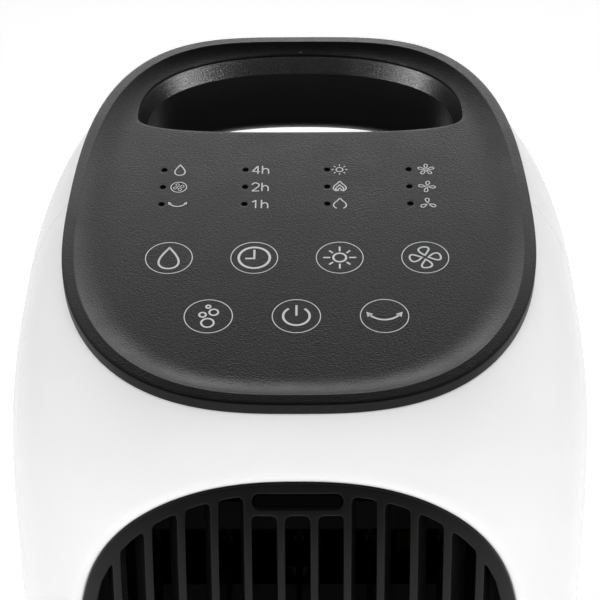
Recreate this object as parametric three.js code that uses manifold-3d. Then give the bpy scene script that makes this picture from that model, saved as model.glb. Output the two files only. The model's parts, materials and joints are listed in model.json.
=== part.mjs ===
// A floor-standing air cooler and fan heater: a white two-part body with a tilted black top cap,
// a carry handle through its rear, a black front grille, a cross-flow fan, a heater, a wet pad and
// a water tank. Millimetres, +Z up, -Y is the front, and the origin is on the floor under the middle.
import * as THREE from "three";
import { mergeVertices } from "three/addons/utils/BufferGeometryUtils.js";
import Module from "manifold-3d";

const wasm = await Module();
wasm.setup();

// ---------------------------------------------------------------- driving dimensions

const CAP_HALF_WIDTH = 101.5;
const CAP_HALF_DEPTH = 124.2;
const CAP_FRONT_POWER = 2.85;
const CAP_REAR_POWER = 3.7;
const CAP_TAPER = 0.049; // how much narrower the rear is than the front, as a share
const CAP_PINCH = 0.0945; // how much narrower both ends are than the middle, as a share
const CAP_TILT = THREE.MathUtils.degToRad(12);
const CAP_HEIGHT = 610; // height of the middle of the control panel
const CAP_UNDERSIDE = -2.6; // levels are measured from the control panel, along its normal
const CAP_RIM = 3.1;
const CAP_RIM_WIDTH = 5;
const CAP_COVE_END = 17.5; // inset at which the cove runs out into the control panel

const BODY_HALF_WIDTH = 129.3;
const BODY_HALF_DEPTH = 152;
const BODY_POWER = 2.87;
const BODY_WALL = 2.5;
const BODY_FOOT = 16.3; // height of the body's lower edge
const BODY_FOOT_TURN_IN = 3.5;
const SHOULDER_DROP = 170;
const SHOULDER_POWER = 5.7;
const SHOULDER_EDGE_INSET = 1.5; // the body's upper edge, inside the cap's outline
const SHOULDER_EDGE_LEVEL = -3;
const SEAM_Y = 12; // where the front and the rear shell meet
const SEAM_GAP = 0.3;

const GAP = 0.4; // between neighbouring pieces
const AROUND = 52; // sides of the body's outline
const FAR = 200; // beyond the body on every side
const FRONT = [-FAR, -60];
const REAR = [60, FAR];

const GRILLE_HALF_WIDTH = 92.6;
const GRILLE_TOP = CAP_HEIGHT - 50.5;
const GRILLE_BOTTOM = CAP_HEIGHT - 393.7;
const GRILLE_END_HEIGHT = 97; // of the curved upper and lower ends
const GRILLE_POWER = 2.5;
const GRILLE_FRAME = 5.5;
const GRILLE_FRAME_TOP = 3.8;
const GRILLE_DEPTH = 8;
const GRILLE_PITCH = 13.15;
const GRILLE_SLIT = 9.95;
const GRILLE_COLUMNS = 6; // on each side of the middle one
const GRILLE_RIBS = [CAP_HEIGHT - 179.7, CAP_HEIGHT - 283.7];
const SLOT_TOP = CAP_HEIGHT - 54.3;
const SLOT_BOTTOM = CAP_HEIGHT - 60.1;
const SLOT_HALF_WIDTH = 18.1;
const SHORT_SLIT_TOP = CAP_HEIGHT - 62.5;

const HANDLE_MIDDLE = 66; // all four in the panel's own plane
const HANDLE_HALF_WIDTH = 75;
const HANDLE_FRONT = 13;
const HANDLE_REAR = 46;
const HANDLE_BAR_DEPTH = 41;
const LINER_FLANGE = 1.8; // outwards from the hole, under the cap
const LINER_WALL_INSET = 3.5; // the liner's wall, below a chamfer that starts at the hole's edge
const LINER_CHAMFER_END = -8;
const GRIP_HALF_WIDTH = 66;
const GRIP_TOP = CAP_HEIGHT - 24;
const GRIP_BOTTOM = CAP_HEIGHT - 72;
const GRIP_RADIUS = 20;
const SCOOP_WALL = 2.2;
const SCOOP_HALF_WIDTH = 78.2;
const SCOOP_FRONT_Y = 49;

// Indicator lights stand in four columns and three rows, each left of its symbol.
const LIGHT_COLUMNS = [-60.65, -24.15, 12.35, 48.85];
const LIGHT_ROWS = [25.5, 13.5, 1.7];
const LIGHT_HOLE_RADIUS = 1.2;
const LIGHT_PIPE_RADIUS = 0.9;

const DECK = [152, 155]; // height of the chassis deck's two faces
const BAY_HALF_WIDTH = 92.5;
const BAY_TOP = 146;
const BAY_RADIUS = 6;
const BAY_WALL_INNER = 95;
const BAY_WALL_OUTER = 97.5;
const BAY_FRONT_Y = [-122, -119.5];
const TANK_HALF_WIDTH = 91;
const TANK_Z = [18, 118];
const TANK_FRONT_Y = -116;
const TANK_WALL = 2.5;
const TANK_CLEARANCE = 4.4; // between the tank and the body's outer surface
const TANK_PANEL = 3.6;
const GAUGE_X = [50, 60];
const GAUGE_Z = [36, 104];
const GAUGE_RADIUS = 4.5;

const FAN_Y = 2;
const FAN_RADIUS = 48;
const FAN_BOTTOM = 215;
const FAN_TOP = 475;
const FAN_DISC = 3;
const FAN_BLADES = 16;
const FAN_HOUSING_TOP = 478;
const SHAFT_RADIUS = 4;

const LOUVRE_PITCH = 30;
const LOUVRE_COUNT = 5;
const LOUVRE_Y = -103.5;
const LOUVRE_ARM = 14;
const LOUVRE_Z = [240, 508];
const LOUVRE_PIN = 2;
const LOUVRE_XS = Array.from(
  { length: LOUVRE_COUNT }, (_, i) => (i - (LOUVRE_COUNT - 1) / 2) * LOUVRE_PITCH);
const LINK_Z = [513, 516];
const RAIL_TOP = [520, 534];
const RAIL_BOTTOM = [228, 238];

const HEATER_Y = [-88, -64];
const HEATER_HALF_WIDTH = 70;
const HEATER_Z = [222, 470];
const HEATER_BORDER = 10;

const PAD_HALF_WIDTH = 92;
const PAD_Y = [86, 104];
const PAD_Z = [208, 464];
const DOOR_HALF_WIDTH = 89;
const DOOR_Z = [206, 464];
const DOOR_THICKNESS = 4;
const DOOR_BORDER = 18; // above and below the slits
const DOOR_SLITS = 6;
const DOOR_SLIT_PITCH = 27;
const DOOR_SLIT = 20;
const HOSE_X = -108;
const HOSE_Y = 92;
const HOSE_RADIUS = 3;
const HOSE_BEND = 24;
const PUMP_X = HOSE_X + 2 * HOSE_BEND;
const TROUGH_HALF_WIDTH = 78;
const OUTLET_X = 50;
const OUTLET_Z = 175;
const REAR_SCREWS = [[-70, 175], [70, 175], [-70, 485], [70, 485]];

const BASE_Z = [6.4, 16];
const BASE_SCREWS = [[-60, -60], [60, -60], [-60, 60], [60, 60]];
const FEET = [[-85, -105], [85, -105], [-85, 105], [85, 105]];

// ---------------------------------------------------------------- materials

function finish(color, roughness, metalness = 0) {
  return { color, roughness, metalness };
}

const WHITE = finish(0xf2f3f4, 0.22);
const BLACK = finish(0x141414, 0.5);
const DARK = finish(0x0b0b0b, 0.45);
const SMOKE = finish(0x101216, 0.08);
const RUBBER = finish(0x1c1c1c, 0.9);
const INNER = finish(0xc9cccd, 0.55);
const STEEL = finish(0xa9adb2, 0.35, 0.9);
const ALUMINIUM = finish(0xc4c6c8, 0.4, 0.9);
const BOARD = finish(0x1f5a36, 0.6);
const PAPER = finish(0xb58f5c, 0.95);
const WATER_BLUE = finish(0x9fb6c4, 0.25);

// ---------------------------------------------------------------- solids

function solid(geometry) {
  geometry.deleteAttribute("normal");
  geometry.deleteAttribute("uv");
  const merged = mergeVertices(geometry, 1e-4);
  return new wasm.Manifold(
    new wasm.Mesh({
      numProp: 3,
      vertProperties: merged.attributes.position.array,
      triVerts: new Uint32Array(merged.index.array),
    }),
  );
}

function geometryOf(body) {
  const mesh = body.getMesh();
  const geometry = new THREE.BufferGeometry();
  geometry.setAttribute("position", new THREE.BufferAttribute(mesh.vertProperties, 3));
  geometry.setIndex(new THREE.BufferAttribute(mesh.triVerts, 1));
  geometry.computeVertexNormals();
  return geometry;
}

function join(first, ...rest) {
  return rest.reduce((sum, piece) => sum.add(piece), first);
}

function cut(first, ...rest) {
  return rest.reduce((left, piece) => left.subtract(piece), first);
}

function block([x0, x1], [y0, y1], [z0, z1]) {
  const geometry = new THREE.BoxGeometry(x1 - x0, y1 - y0, z1 - z0);
  geometry.translate((x0 + x1) / 2, (y0 + y1) / 2, (z0 + z1) / 2);
  return solid(geometry);
}

function both(half) {
  return [-half, half];
}

function rodZ(radius, x, y, [z0, z1], sides = 20) {
  const geometry = new THREE.CylinderGeometry(radius, radius, z1 - z0, sides);
  geometry.rotateX(Math.PI / 2);
  geometry.translate(x, y, (z0 + z1) / 2);
  return solid(geometry);
}

function rodY(radius, x, z, [y0, y1], sides = 20) {
  const geometry = new THREE.CylinderGeometry(radius, radius, y1 - y0, sides);
  geometry.translate(x, (y0 + y1) / 2, z);
  return solid(geometry);
}

// Extrusions of an outline along each axis. An outline is a list of Vector2.
function extrude(outline, length) {
  const options = { depth: length, bevelEnabled: false, steps: 1 };
  return new THREE.ExtrudeGeometry(new THREE.Shape(outline), options);
}

function prismX(outline, [x0, x1]) {
  const geometry = extrude(outline, x1 - x0);
  const turn = new THREE.Matrix4().makeBasis(
    new THREE.Vector3(0, 1, 0),
    new THREE.Vector3(0, 0, 1),
    new THREE.Vector3(1, 0, 0),
  );
  geometry.applyMatrix4(turn);
  geometry.translate(x0, 0, 0);
  return solid(geometry);
}

function prismY(outline, [y0, y1]) {
  const geometry = extrude(outline, y1 - y0);
  geometry.rotateX(Math.PI / 2);
  geometry.translate(0, y1, 0);
  return solid(geometry);
}

function prismZ(outline, [z0, z1]) {
  const geometry = extrude(outline, z1 - z0);
  geometry.translate(0, 0, z0);
  return solid(geometry);
}

// A closed skin over a stack of rings with equal numbers of points, from the lowest to the highest.
function loft(rings) {
  const sides = rings[0].length;
  const points = rings.flat();
  const index = [];
  for (let ring = 0; ring + 1 < rings.length; ring++) {
    for (let i = 0; i < sides; i++) {
      const a = ring * sides + i;
      const b = ring * sides + ((i + 1) % sides);
      index.push(a, b, b + sides, a, b + sides, a + sides);
    }
  }
  const last = (rings.length - 1) * sides;
  for (const [start, turned] of [[0, true], [last, false]]) {
    const middle = new THREE.Vector3();
    for (let i = 0; i < sides; i++) middle.add(points[start + i]);
    points.push(middle.divideScalar(sides));
    for (let i = 0; i < sides; i++) {
      const a = start + i;
      const b = start + ((i + 1) % sides);
      index.push(...(turned ? [b, a, points.length - 1] : [a, b, points.length - 1]));
    }
  }
  const geometry = new THREE.BufferGeometry().setFromPoints(points);
  geometry.setIndex(index);
  return solid(geometry);
}

// ---------------------------------------------------------------- outlines

// The point of a superellipse that lies in a direction, before its two half widths stretch it.
function superellipse(angle, halfWidth, halfDepth, power) {
  const along = Math.cos(angle);
  const across = Math.sin(angle);
  const reach = (Math.abs(along) ** power + Math.abs(across) ** power) ** (-1 / power);
  return [halfWidth * reach * along, halfDepth * reach * across];
}

function ringOf(pointAt, sides = AROUND) {
  return Array.from({ length: sides }, (_, i) => pointAt((2 * Math.PI * i) / sides));
}

function roundedRectangle([x0, x1], [y0, y1], radius) {
  const shape = new THREE.Shape();
  shape.moveTo(x0 + radius, y0);
  shape.absarc(x1 - radius, y0 + radius, radius, -Math.PI / 2, 0);
  shape.absarc(x1 - radius, y1 - radius, radius, 0, Math.PI / 2);
  shape.absarc(x0 + radius, y1 - radius, radius, Math.PI / 2, Math.PI);
  shape.absarc(x0 + radius, y0 + radius, radius, Math.PI, 1.5 * Math.PI);
  return shape.getPoints(4);
}

// ---------------------------------------------------------------- body surface

// The cap's outline, drawn in by an inset: narrower towards the rear, and at both of its ends.
function capOutline(angle, inset) {
  const power = Math.sin(angle) < 0 ? CAP_FRONT_POWER : CAP_REAR_POWER;
  const [u, w] = superellipse(angle, CAP_HALF_WIDTH - inset, CAP_HALF_DEPTH - inset, power);
  const share = w / (CAP_HALF_DEPTH - inset);
  return [u * (1 - CAP_TAPER * share - CAP_PINCH * share * share), w];
}

function onPanel(u, w, level) {
  return new THREE.Vector3(
    u,
    w * Math.cos(CAP_TILT) - level * Math.sin(CAP_TILT),
    CAP_HEIGHT + w * Math.sin(CAP_TILT) + level * Math.cos(CAP_TILT),
  );
}

// The tilted upper edge, where the shoulder starts under the cap.
function shoulderEdge(angle, inset, level = SHOULDER_EDGE_LEVEL) {
  const [u, w] = capOutline(angle, SHOULDER_EDGE_INSET + inset);
  return onPanel(u, w, level);
}

function wallPoint(angle, inset, z) {
  const [x, y] = superellipse(
    angle, BODY_HALF_WIDTH - inset, BODY_HALF_DEPTH - inset, BODY_POWER);
  return new THREE.Vector3(x, y, z);
}

// The shoulder swells from the tilted edge out to the upright wall.
function shoulderPoint(angle, inset, drop) {
  const edge = shoulderEdge(angle, inset, SHOULDER_EDGE_LEVEL - inset / 2);
  const wall = wallPoint(angle, inset, edge.z);
  const swell = 1 - (1 - drop / SHOULDER_DROP) ** SHOULDER_POWER;
  const point = edge.lerp(wall, swell);
  point.z -= drop;
  return point;
}

// The whole body as one solid, drawn in by an inset. An open one runs on past both ends.
function bodySolid(inset, open = false) {
  const foot = BODY_FOOT + BODY_FOOT_TURN_IN * 2;
  const drops = [170, 105, 72, 50, 33, 20, 9, 0];
  const rings = [
    ringOf((angle) => wallPoint(angle, inset + BODY_FOOT_TURN_IN, BODY_FOOT)),
    ringOf((angle) => wallPoint(angle, inset + 1, BODY_FOOT + BODY_FOOT_TURN_IN)),
    ringOf((angle) => wallPoint(angle, inset, foot)),
    ...drops.map((drop) => ringOf((angle) => shoulderPoint(angle, inset, drop))),
  ];
  if (open) {
    rings.unshift(ringOf((angle) => wallPoint(angle, inset + BODY_FOOT_TURN_IN, 0)));
    rings.push(ringOf((angle) => shoulderEdge(angle, inset, 5)));
  }
  return loft(rings);
}

// A layer of the body between two insets, inside an outline that is seen from the front or the back.
function layer(outer, inner, outline, ys) {
  const window = prismY(outline, ys);
  return bodySolid(outer).intersect(window).subtract(bodySolid(inner, true));
}

// ---------------------------------------------------------------- shells

// The grille's outline: a straight middle with superelliptic ends.
function grilleOutline(grow, growTop = grow) {
  const half = GRILLE_HALF_WIDTH + grow;
  const end = GRILLE_END_HEIGHT + growTop;
  const points = [];
  const steps = 32;
  for (let i = 0; i < steps; i++) {
    const angle = (2 * Math.PI * (i + 0.5)) / steps;
    const [x, rise] = superellipse(angle, half, end, GRILLE_POWER);
    const middle = rise > 0 ? GRILLE_TOP - GRILLE_END_HEIGHT : GRILLE_BOTTOM + GRILLE_END_HEIGHT;
    points.push(new THREE.Vector2(x, middle + rise));
  }
  return points;
}

function makeShells() {
  const skin = bodySolid(0).subtract(bodySolid(BODY_WALL, true));
  const heights = [0, CAP_HEIGHT + 100];
  const frontSide = block(both(FAR), [-FAR, SEAM_Y - SEAM_GAP / 2], heights);
  const rearSide = block(both(FAR), [SEAM_Y + SEAM_GAP / 2, FAR], heights);
  const front = cut(skin.intersect(frontSide), prismY(grilleOutline(GAP), FRONT));
  const grip = roundedRectangle(both(GRIP_HALF_WIDTH), [GRIP_BOTTOM, GRIP_TOP], GRIP_RADIUS);
  const door = roundedRectangle(both(DOOR_HALF_WIDTH + 1.2), [DOOR_Z[0] - 2, DOOR_Z[1] + 2], 12);
  const bay = roundedRectangle(both(BAY_HALF_WIDTH), [0, BAY_TOP], BAY_RADIUS);
  const screwHoles = REAR_SCREWS.map(([x, z]) => rodY(4.2, x, z, REAR));
  const outlet = rodY(10, OUTLET_X, OUTLET_Z, REAR);
  const openings = [grip, door, bay].map((outline) => prismY(outline, REAR));
  const rear = cut(skin.intersect(rearSide), ...openings, ...screwHoles, outlet);
  return [front, rear];
}

function makeRearScrew(x, z) {
  const head = rodY(3.6, x, z, [136, 139.5], 12);
  const shank = rodY(1.8, x, z, [122, 136.5], 8);
  return head.add(shank);
}

// ---------------------------------------------------------------- cap and handle, in panel axes

function capRing(inset, level) {
  return ringOf((angle) => {
    const [u, w] = capOutline(angle, inset);
    return new THREE.Vector3(u, w, level);
  });
}

// The handle hole: a shallow half superellipse in front and a deep one behind.
function handleRing(inset, level) {
  return ringOf((angle) => {
    const front = Math.sin(angle) < 0;
    const depth = (front ? HANDLE_FRONT : HANDLE_REAR) - inset;
    const [u, w] = superellipse(angle, HANDLE_HALF_WIDTH - inset, depth, front ? 3 : 2.3);
    return new THREE.Vector3(u, HANDLE_MIDDLE + w, level);
  }, 40);
}

function lightRods(radius, levels) {
  return LIGHT_COLUMNS.flatMap((u) => LIGHT_ROWS.map((w) => rodZ(radius, u, w, levels, 6)));
}

// Skirt, flat rim, concave cove and sunken panel.
function makeCap() {
  const corner = 0.6;
  const coveShares = [0.07, 0.3, 0.6, 1];
  const cove = coveShares.map((share) => [
    CAP_RIM_WIDTH + share * (CAP_COVE_END - CAP_RIM_WIDTH), CAP_RIM * (1 - share) ** 2.2,
  ]);
  const profile = [
    [0, CAP_UNDERSIDE], [0, CAP_RIM - corner], [corner, CAP_RIM], [CAP_RIM_WIDTH, CAP_RIM], ...cove,
  ];
  const plate = loft(profile.map(([inset, level]) => capRing(inset, level)));
  const locatingRib = cut(
    loft([capRing(6, -8), capRing(6, -1)]),
    loft([capRing(8, -9), capRing(8, 0)]),
  );
  const hole = loft([handleRing(0, -9), handleRing(0, 9)]);
  return cut(plate.add(locatingRib), hole, ...lightRods(LIGHT_HOLE_RADIUS, both(5)));
}

// The liner fills the cap's hole to just below its surface, with a flange under the cap.
function makeHandleLiner() {
  const flangeTop = CAP_UNDERSIDE - GAP;
  const top = -0.2;
  const outer = loft([
    handleRing(-LINER_FLANGE, -HANDLE_BAR_DEPTH), handleRing(-LINER_FLANGE, flangeTop),
    handleRing(GAP, flangeTop), handleRing(GAP, top),
  ]);
  const inner = loft([
    handleRing(LINER_WALL_INSET, -HANDLE_BAR_DEPTH - 5),
    handleRing(LINER_WALL_INSET, LINER_CHAMFER_END),
    handleRing(GAP + 0.6, top), handleRing(GAP + 0.6, top + 5),
  ]);
  // The front part is short, so that the scoop takes over below it.
  const underFront = prismX([
    new THREE.Vector2(40, -12), new THREE.Vector2(62, -12), new THREE.Vector2(104, -60),
    new THREE.Vector2(40, -60),
  ], both(90));
  return cut(outer, inner, underFront);
}

// The bar's underside rises forwards, from the grip opening to the liner's lower edge.
function makeBarUnderside() {
  const front = 121.5;
  const level = 146; // where the slope ends
  const low = GRIP_TOP + 0.6;
  const rise = 3.4;
  const thickness = 2.4;
  const outline = [
    [front, low + rise], [level, low], [160, low], [160, low + thickness],
    [level, low + thickness], [front, low + rise + thickness],
  ].map(([y, z]) => new THREE.Vector2(y, z));
  const plate = prismX(outline, both(GRIP_HALF_WIDTH + 4));
  const upstand = block(
    both(GRIP_HALF_WIDTH - 20), [front, front + thickness], [low + rise + 1, GRIP_TOP + 12]);
  return plate.add(upstand).intersect(bodySolid(BODY_WALL + GAP));
}

// The scoop runs from the front of the handle hole down and back to the grip opening.
function makeScoop() {
  const above = CAP_HEIGHT + 30;
  const rearY = 160;
  const scoopCurve = new THREE.CubicBezierCurve(
    new THREE.Vector2(SCOOP_FRONT_Y, above),
    new THREE.Vector2(SCOOP_FRONT_Y, CAP_HEIGHT - 60),
    new THREE.Vector2(86, GRIP_BOTTOM + 1),
    new THREE.Vector2(rearY, GRIP_BOTTOM - 1),
  );
  const inside = scoopCurve.getPoints(12);
  const shifted = inside.map((p) => new THREE.Vector2(p.x - SCOOP_WALL, p.y - SCOOP_WALL));
  const corner = new THREE.Vector2(rearY, above);
  const outsideCorner = new THREE.Vector2(rearY - SCOOP_WALL, above - SCOOP_WALL);
  const outer = prismX([...shifted, outsideCorner], both(SCOOP_HALF_WIDTH + SCOOP_WALL));
  const inner = prismX(
    [...inside, corner, new THREE.Vector2(SCOOP_FRONT_Y, above + 1)], both(SCOOP_HALF_WIDTH));
  // Everything below a plane parallel to the control panel, under the cap's locating rib.
  const ceilingDepth = 200;
  const ceiling = new THREE.BoxGeometry(2 * FAR, 2 * FAR, ceilingDepth);
  ceiling.translate(0, 0, -9 - ceilingDepth / 2);
  ceiling.rotateX(CAP_TILT);
  ceiling.translate(0, 0, CAP_HEIGHT);
  const inBody = bodySolid(BODY_WALL + GAP);
  return cut(outer, inner).intersect(solid(ceiling)).intersect(inBody);
}

function makeControlBoard() {
  const chipHalf = 7;
  const plate = block(both(72), [-88, 40], [-13.6, -12]);
  const chips = [[-40, -52], [20, -52], [0, 10]].map(([u, w]) =>
    block([u - chipHalf, u + chipHalf], [w - chipHalf, w + chipHalf], [-15.5, -13]));
  return join(plate, ...chips);
}

function makeLightGuide() {
  const plate = block([-66, 54], [-3, 30], [-11.6, -9.5]);
  return join(plate, ...lightRods(LIGHT_PIPE_RADIUS, [-10, -0.6]));
}

// ---------------------------------------------------------------- front grille

function slitOutline(x0, x1, top) {
  const halfInner = GRILLE_HALF_WIDTH - GRILLE_FRAME;
  const endHeight = GRILLE_END_HEIGHT - GRILLE_FRAME_TOP;
  const riseAt = (x) => endHeight * (1 - (Math.abs(x) / halfInner) ** GRILLE_POWER)
    ** (1 / GRILLE_POWER);
  const xs = [x0, (x0 + x1) / 2, x1];
  const upper = xs.map((x) => new THREE.Vector2(
    x, Math.min(top, GRILLE_TOP - GRILLE_END_HEIGHT + riseAt(x))));
  const lower = xs.map((x) => new THREE.Vector2(
    x, GRILLE_BOTTOM + GRILLE_END_HEIGHT - riseAt(x)));
  return [...lower, ...upper.reverse()];
}

function makeGrille() {
  const plate = layer(GAP, GAP + GRILLE_DEPTH, grilleOutline(0), FRONT);
  const slits = [];
  for (let column = -GRILLE_COLUMNS; column <= GRILLE_COLUMNS; column++) {
    const middle = column * GRILLE_PITCH;
    const top = Math.abs(column) <= 1 ? SHORT_SLIT_TOP : Infinity;
    const outline = slitOutline(middle - GRILLE_SLIT / 2, middle + GRILLE_SLIT / 2, top);
    slits.push(prismY(outline, FRONT));
  }
  const slot = roundedRectangle(both(SLOT_HALF_WIDTH), [SLOT_BOTTOM, SLOT_TOP], 2.8);
  const cutPlate = cut(plate, ...slits, prismY(slot, FRONT));
  // Two cross ribs tie the bars together behind their front edges.
  const ribHeight = 3;
  const ribs = GRILLE_RIBS.map((z) =>
    layer(GAP + 5, GAP + GRILLE_DEPTH,
      roundedRectangle(both(GRILLE_HALF_WIDTH - 3), [z, z + ribHeight], 1), FRONT));
  return join(cutPlate, ...ribs);
}

function makeReceiverWindow() {
  const outline = roundedRectangle(
    both(SLOT_HALF_WIDTH - GAP), [SLOT_BOTTOM + GAP, SLOT_TOP - GAP], 2.3);
  return layer(GAP + 2, GAP + 5, outline, FRONT);
}

function makeReceiverBoard() {
  const plate = block(both(16), [-122.6, -121], [SLOT_BOTTOM - 6, SLOT_TOP + 4]);
  const eye = block(both(4), [-125.5, -122], [SLOT_BOTTOM, SLOT_TOP]);
  return plate.add(eye);
}

// ---------------------------------------------------------------- louvres

// A vane on two pivot pins, with an arm whose small pin drives it from the link bar.
function makeLouvre(pinTop) {
  const [bottom, top] = LOUVRE_Z;
  const vane = ringOf((angle) => {
    const [x, y] = superellipse(angle, 1.3, 9.5, 2.2);
    return new THREE.Vector2(x, y);
  }, 8);
  return join(
    prismZ(vane, LOUVRE_Z),
    rodZ(LOUVRE_PIN, 0, 0, [RAIL_BOTTOM[0] + 2, bottom + 2], 8),
    rodZ(LOUVRE_PIN, 0, 0, [top - 2, pinTop], 8),
    block(both(2), [-2, LOUVRE_ARM + 2], [top - 1, top + 2]),
    rodZ(1.5, 0, LOUVRE_ARM, [top, LINK_Z[1] + 2], 6),
  );
}

function makeLouvreLink() {
  const y = LOUVRE_Y + LOUVRE_ARM;
  const slotHalf = 2.4;
  const bar = block(both(68), [y - 7, y + 5], LINK_Z);
  const slots = LOUVRE_XS.map((x) =>
    block([x - slotHalf, x + slotHalf], [y - 4.3, y + slotHalf], [LINK_Z[0] - 3, LINK_Z[1] + 4]));
  return cut(bar, ...slots);
}

function makeLouvreFrame() {
  const outer = block(both(85), [-114.3, -92], [RAIL_BOTTOM[0], RAIL_TOP[1]]);
  const window = block(both(80), [-130, -80], [RAIL_BOTTOM[1], RAIL_TOP[0]]);
  const through = [RAIL_BOTTOM[0] - 10, RAIL_TOP[1] + 10];
  const holes = LOUVRE_XS.map((x) => rodZ(LOUVRE_PIN + GAP, x, LOUVRE_Y, through, 8));
  return cut(outer, window, ...holes);
}

function makeSwingMotor() {
  const bottom = RAIL_TOP[1] + GAP;
  const can = rodZ(14, 0, LOUVRE_Y, [bottom, bottom + 18.6]);
  const ears = block(both(21), [LOUVRE_Y - 4, LOUVRE_Y + 4], [bottom, bottom + 2.6]);
  const bore = rodZ(LOUVRE_PIN + GAP, 0, LOUVRE_Y, [bottom - 4, bottom + 11], 10);
  return cut(can.add(ears), bore);
}

// ---------------------------------------------------------------- fan

function bladeOutline() {
  const inner = 35;
  const outer = FAN_RADIUS - 1;
  const thickness = 1.4;
  const points = [];
  const steps = 2;
  for (const side of [-1, 1]) {
    for (let i = 0; i <= steps; i++) {
      const along = side < 0 ? i / steps : 1 - i / steps;
      const radius = inner + (outer - inner) * along;
      const lean = 0.16 * along * along + (side * thickness) / 2 / radius;
      points.push(new THREE.Vector2(radius * Math.cos(lean), radius * Math.sin(lean)));
    }
  }
  return points;
}

function makeImpeller() {
  const lowest = [FAN_BOTTOM, (FAN_BOTTOM + FAN_TOP - FAN_DISC) / 2, FAN_TOP - FAN_DISC];
  const discs = lowest.map((z) => rodZ(FAN_RADIUS, 0, 0, [z, z + FAN_DISC], 40));
  const blades = [];
  for (let i = 0; i < FAN_BLADES; i++) {
    const geometry = extrude(bladeOutline(), FAN_TOP - FAN_BOTTOM - 2);
    geometry.rotateZ((2 * Math.PI * i) / FAN_BLADES);
    geometry.translate(0, 0, FAN_BOTTOM + 1);
    blades.push(solid(geometry));
  }
  const shaft = rodZ(SHAFT_RADIUS, 0, 0, [197, 487], 12);
  return join(shaft, ...discs, ...blades);
}

function makeFanHousing() {
  const floor = cut(block(both(72), [-62, 60], [206.5, 209]), rodZ(14, 0, FAN_Y, [200, 220]));
  const walls = [208, FAN_HOUSING_TOP];
  // The scroll wall: a spiral that opens from the back of the wheel towards its left side.
  const steps = 12;
  const spiral = (grow) => Array.from({ length: steps + 1 }, (_, i) => {
    const angle = THREE.MathUtils.degToRad(85 + 95 * (i / steps));
    const radius = FAN_RADIUS + 4 + 14 * (i / steps) + grow;
    return new THREE.Vector2(radius * Math.cos(angle), FAN_Y + radius * Math.sin(angle));
  });
  const inside = spiral(0);
  const outside = spiral(2);
  const scroll = prismZ([
    ...inside, new THREE.Vector2(-66, -61), new THREE.Vector2(-68, -61), ...outside.reverse(),
  ], walls);
  const tongue = prismZ([
    new THREE.Vector2(52.5, -6), new THREE.Vector2(55.5, -5), new THREE.Vector2(68, -61),
    new THREE.Vector2(66, -61),
  ], walls);
  return join(floor, scroll, tongue);
}

function makeHousingLid() {
  const lid = block(both(72), [-62, 60], [FAN_HOUSING_TOP + GAP, FAN_HOUSING_TOP + 3]);
  return cut(lid, rodZ(13, 0, FAN_Y, [470, 490]));
}

function makeMotor() {
  const can = rodZ(36, 0, FAN_Y, [160.4, 198], 32);
  const boss = rodZ(12, 0, FAN_Y, [197, 205]);
  return cut(can.add(boss), rodZ(SHAFT_RADIUS + GAP, 0, FAN_Y, [194, 210], 12));
}

function makeMotorMount() {
  const plate = rodZ(43, 0, FAN_Y, [DECK[1] + GAP, 160], 32);
  return cut(plate, rodZ(20, 0, FAN_Y, [150, 165]));
}

function makeBearing() {
  const ring = rodZ(11, 0, FAN_Y, [FAN_HOUSING_TOP, 492]);
  return cut(ring, rodZ(SHAFT_RADIUS + GAP, 0, FAN_Y, [470, 490], 12));
}

// ---------------------------------------------------------------- heater

function makeHeaterFrame() {
  const [bottom, top] = HEATER_Z;
  return cut(
    block(both(HEATER_HALF_WIDTH), HEATER_Y, HEATER_Z),
    block(both(HEATER_HALF_WIDTH - HEATER_BORDER), [HEATER_Y[0] - 7, HEATER_Y[1] + 4],
      [bottom + HEATER_BORDER, top - HEATER_BORDER]),
  );
}

function makeHeaterCore() {
  const bottom = HEATER_Z[0] + HEATER_BORDER + GAP;
  const top = HEATER_Z[1] - HEATER_BORDER - GAP;
  const finPitch = 24;
  const bars = [-45, -15, 15, 45].map((x) => block([x - 3, x + 3], [-83, -69], [bottom, top]));
  const fins = [];
  for (let z = bottom + finPitch / 2; z < top; z += finPitch) {
    fins.push(block(both(HEATER_HALF_WIDTH - HEATER_BORDER - GAP), [-84, -68], [z, z + 1]));
  }
  return join(...bars, ...fins);
}

// ---------------------------------------------------------------- water

function makeTank() {
  const outer = block(both(TANK_HALF_WIDTH), [TANK_FRONT_Y, FAR], TANK_Z)
    .intersect(bodySolid(TANK_CLEARANCE));
  const inner = block(
    both(TANK_HALF_WIDTH - TANK_WALL),
    [TANK_FRONT_Y + TANK_WALL, FAR],
    [TANK_Z[0] + TANK_WALL, TANK_Z[1] + 5],
  ).intersect(bodySolid(TANK_CLEARANCE + TANK_WALL));
  return cut(outer, inner);
}

function makeTankFront() {
  const clearance = 0.8;
  const outline = roundedRectangle(
    both(BAY_HALF_WIDTH - clearance), [0, BAY_TOP - clearance], BAY_RADIUS - clearance);
  const panel = layer(GAP, TANK_PANEL, outline, REAR);
  const pull = roundedRectangle(both(34), [BAY_TOP - 22, BAY_TOP + 20], 9);
  const gauge = roundedRectangle(GAUGE_X, GAUGE_Z, GAUGE_RADIUS);
  return cut(panel, prismY(pull, REAR), prismY(gauge, REAR));
}

function makeGauge() {
  const [x0, x1] = GAUGE_X;
  const [z0, z1] = GAUGE_Z;
  const outline = roundedRectangle(
    [x0 + GAP, x1 - GAP], [z0 + GAP, z1 - GAP], GAUGE_RADIUS - GAP);
  return layer(GAP + 0.3, TANK_PANEL, outline, REAR);
}

function makePump() {
  return join(
    rodZ(15, PUMP_X, HOSE_Y, [26, 60]),
    rodZ(5, PUMP_X, HOSE_Y, [59, 148], 12),
    rodZ(9, PUMP_X, HOSE_Y, [147, DECK[0] - GAP], 16),
  );
}

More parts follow.
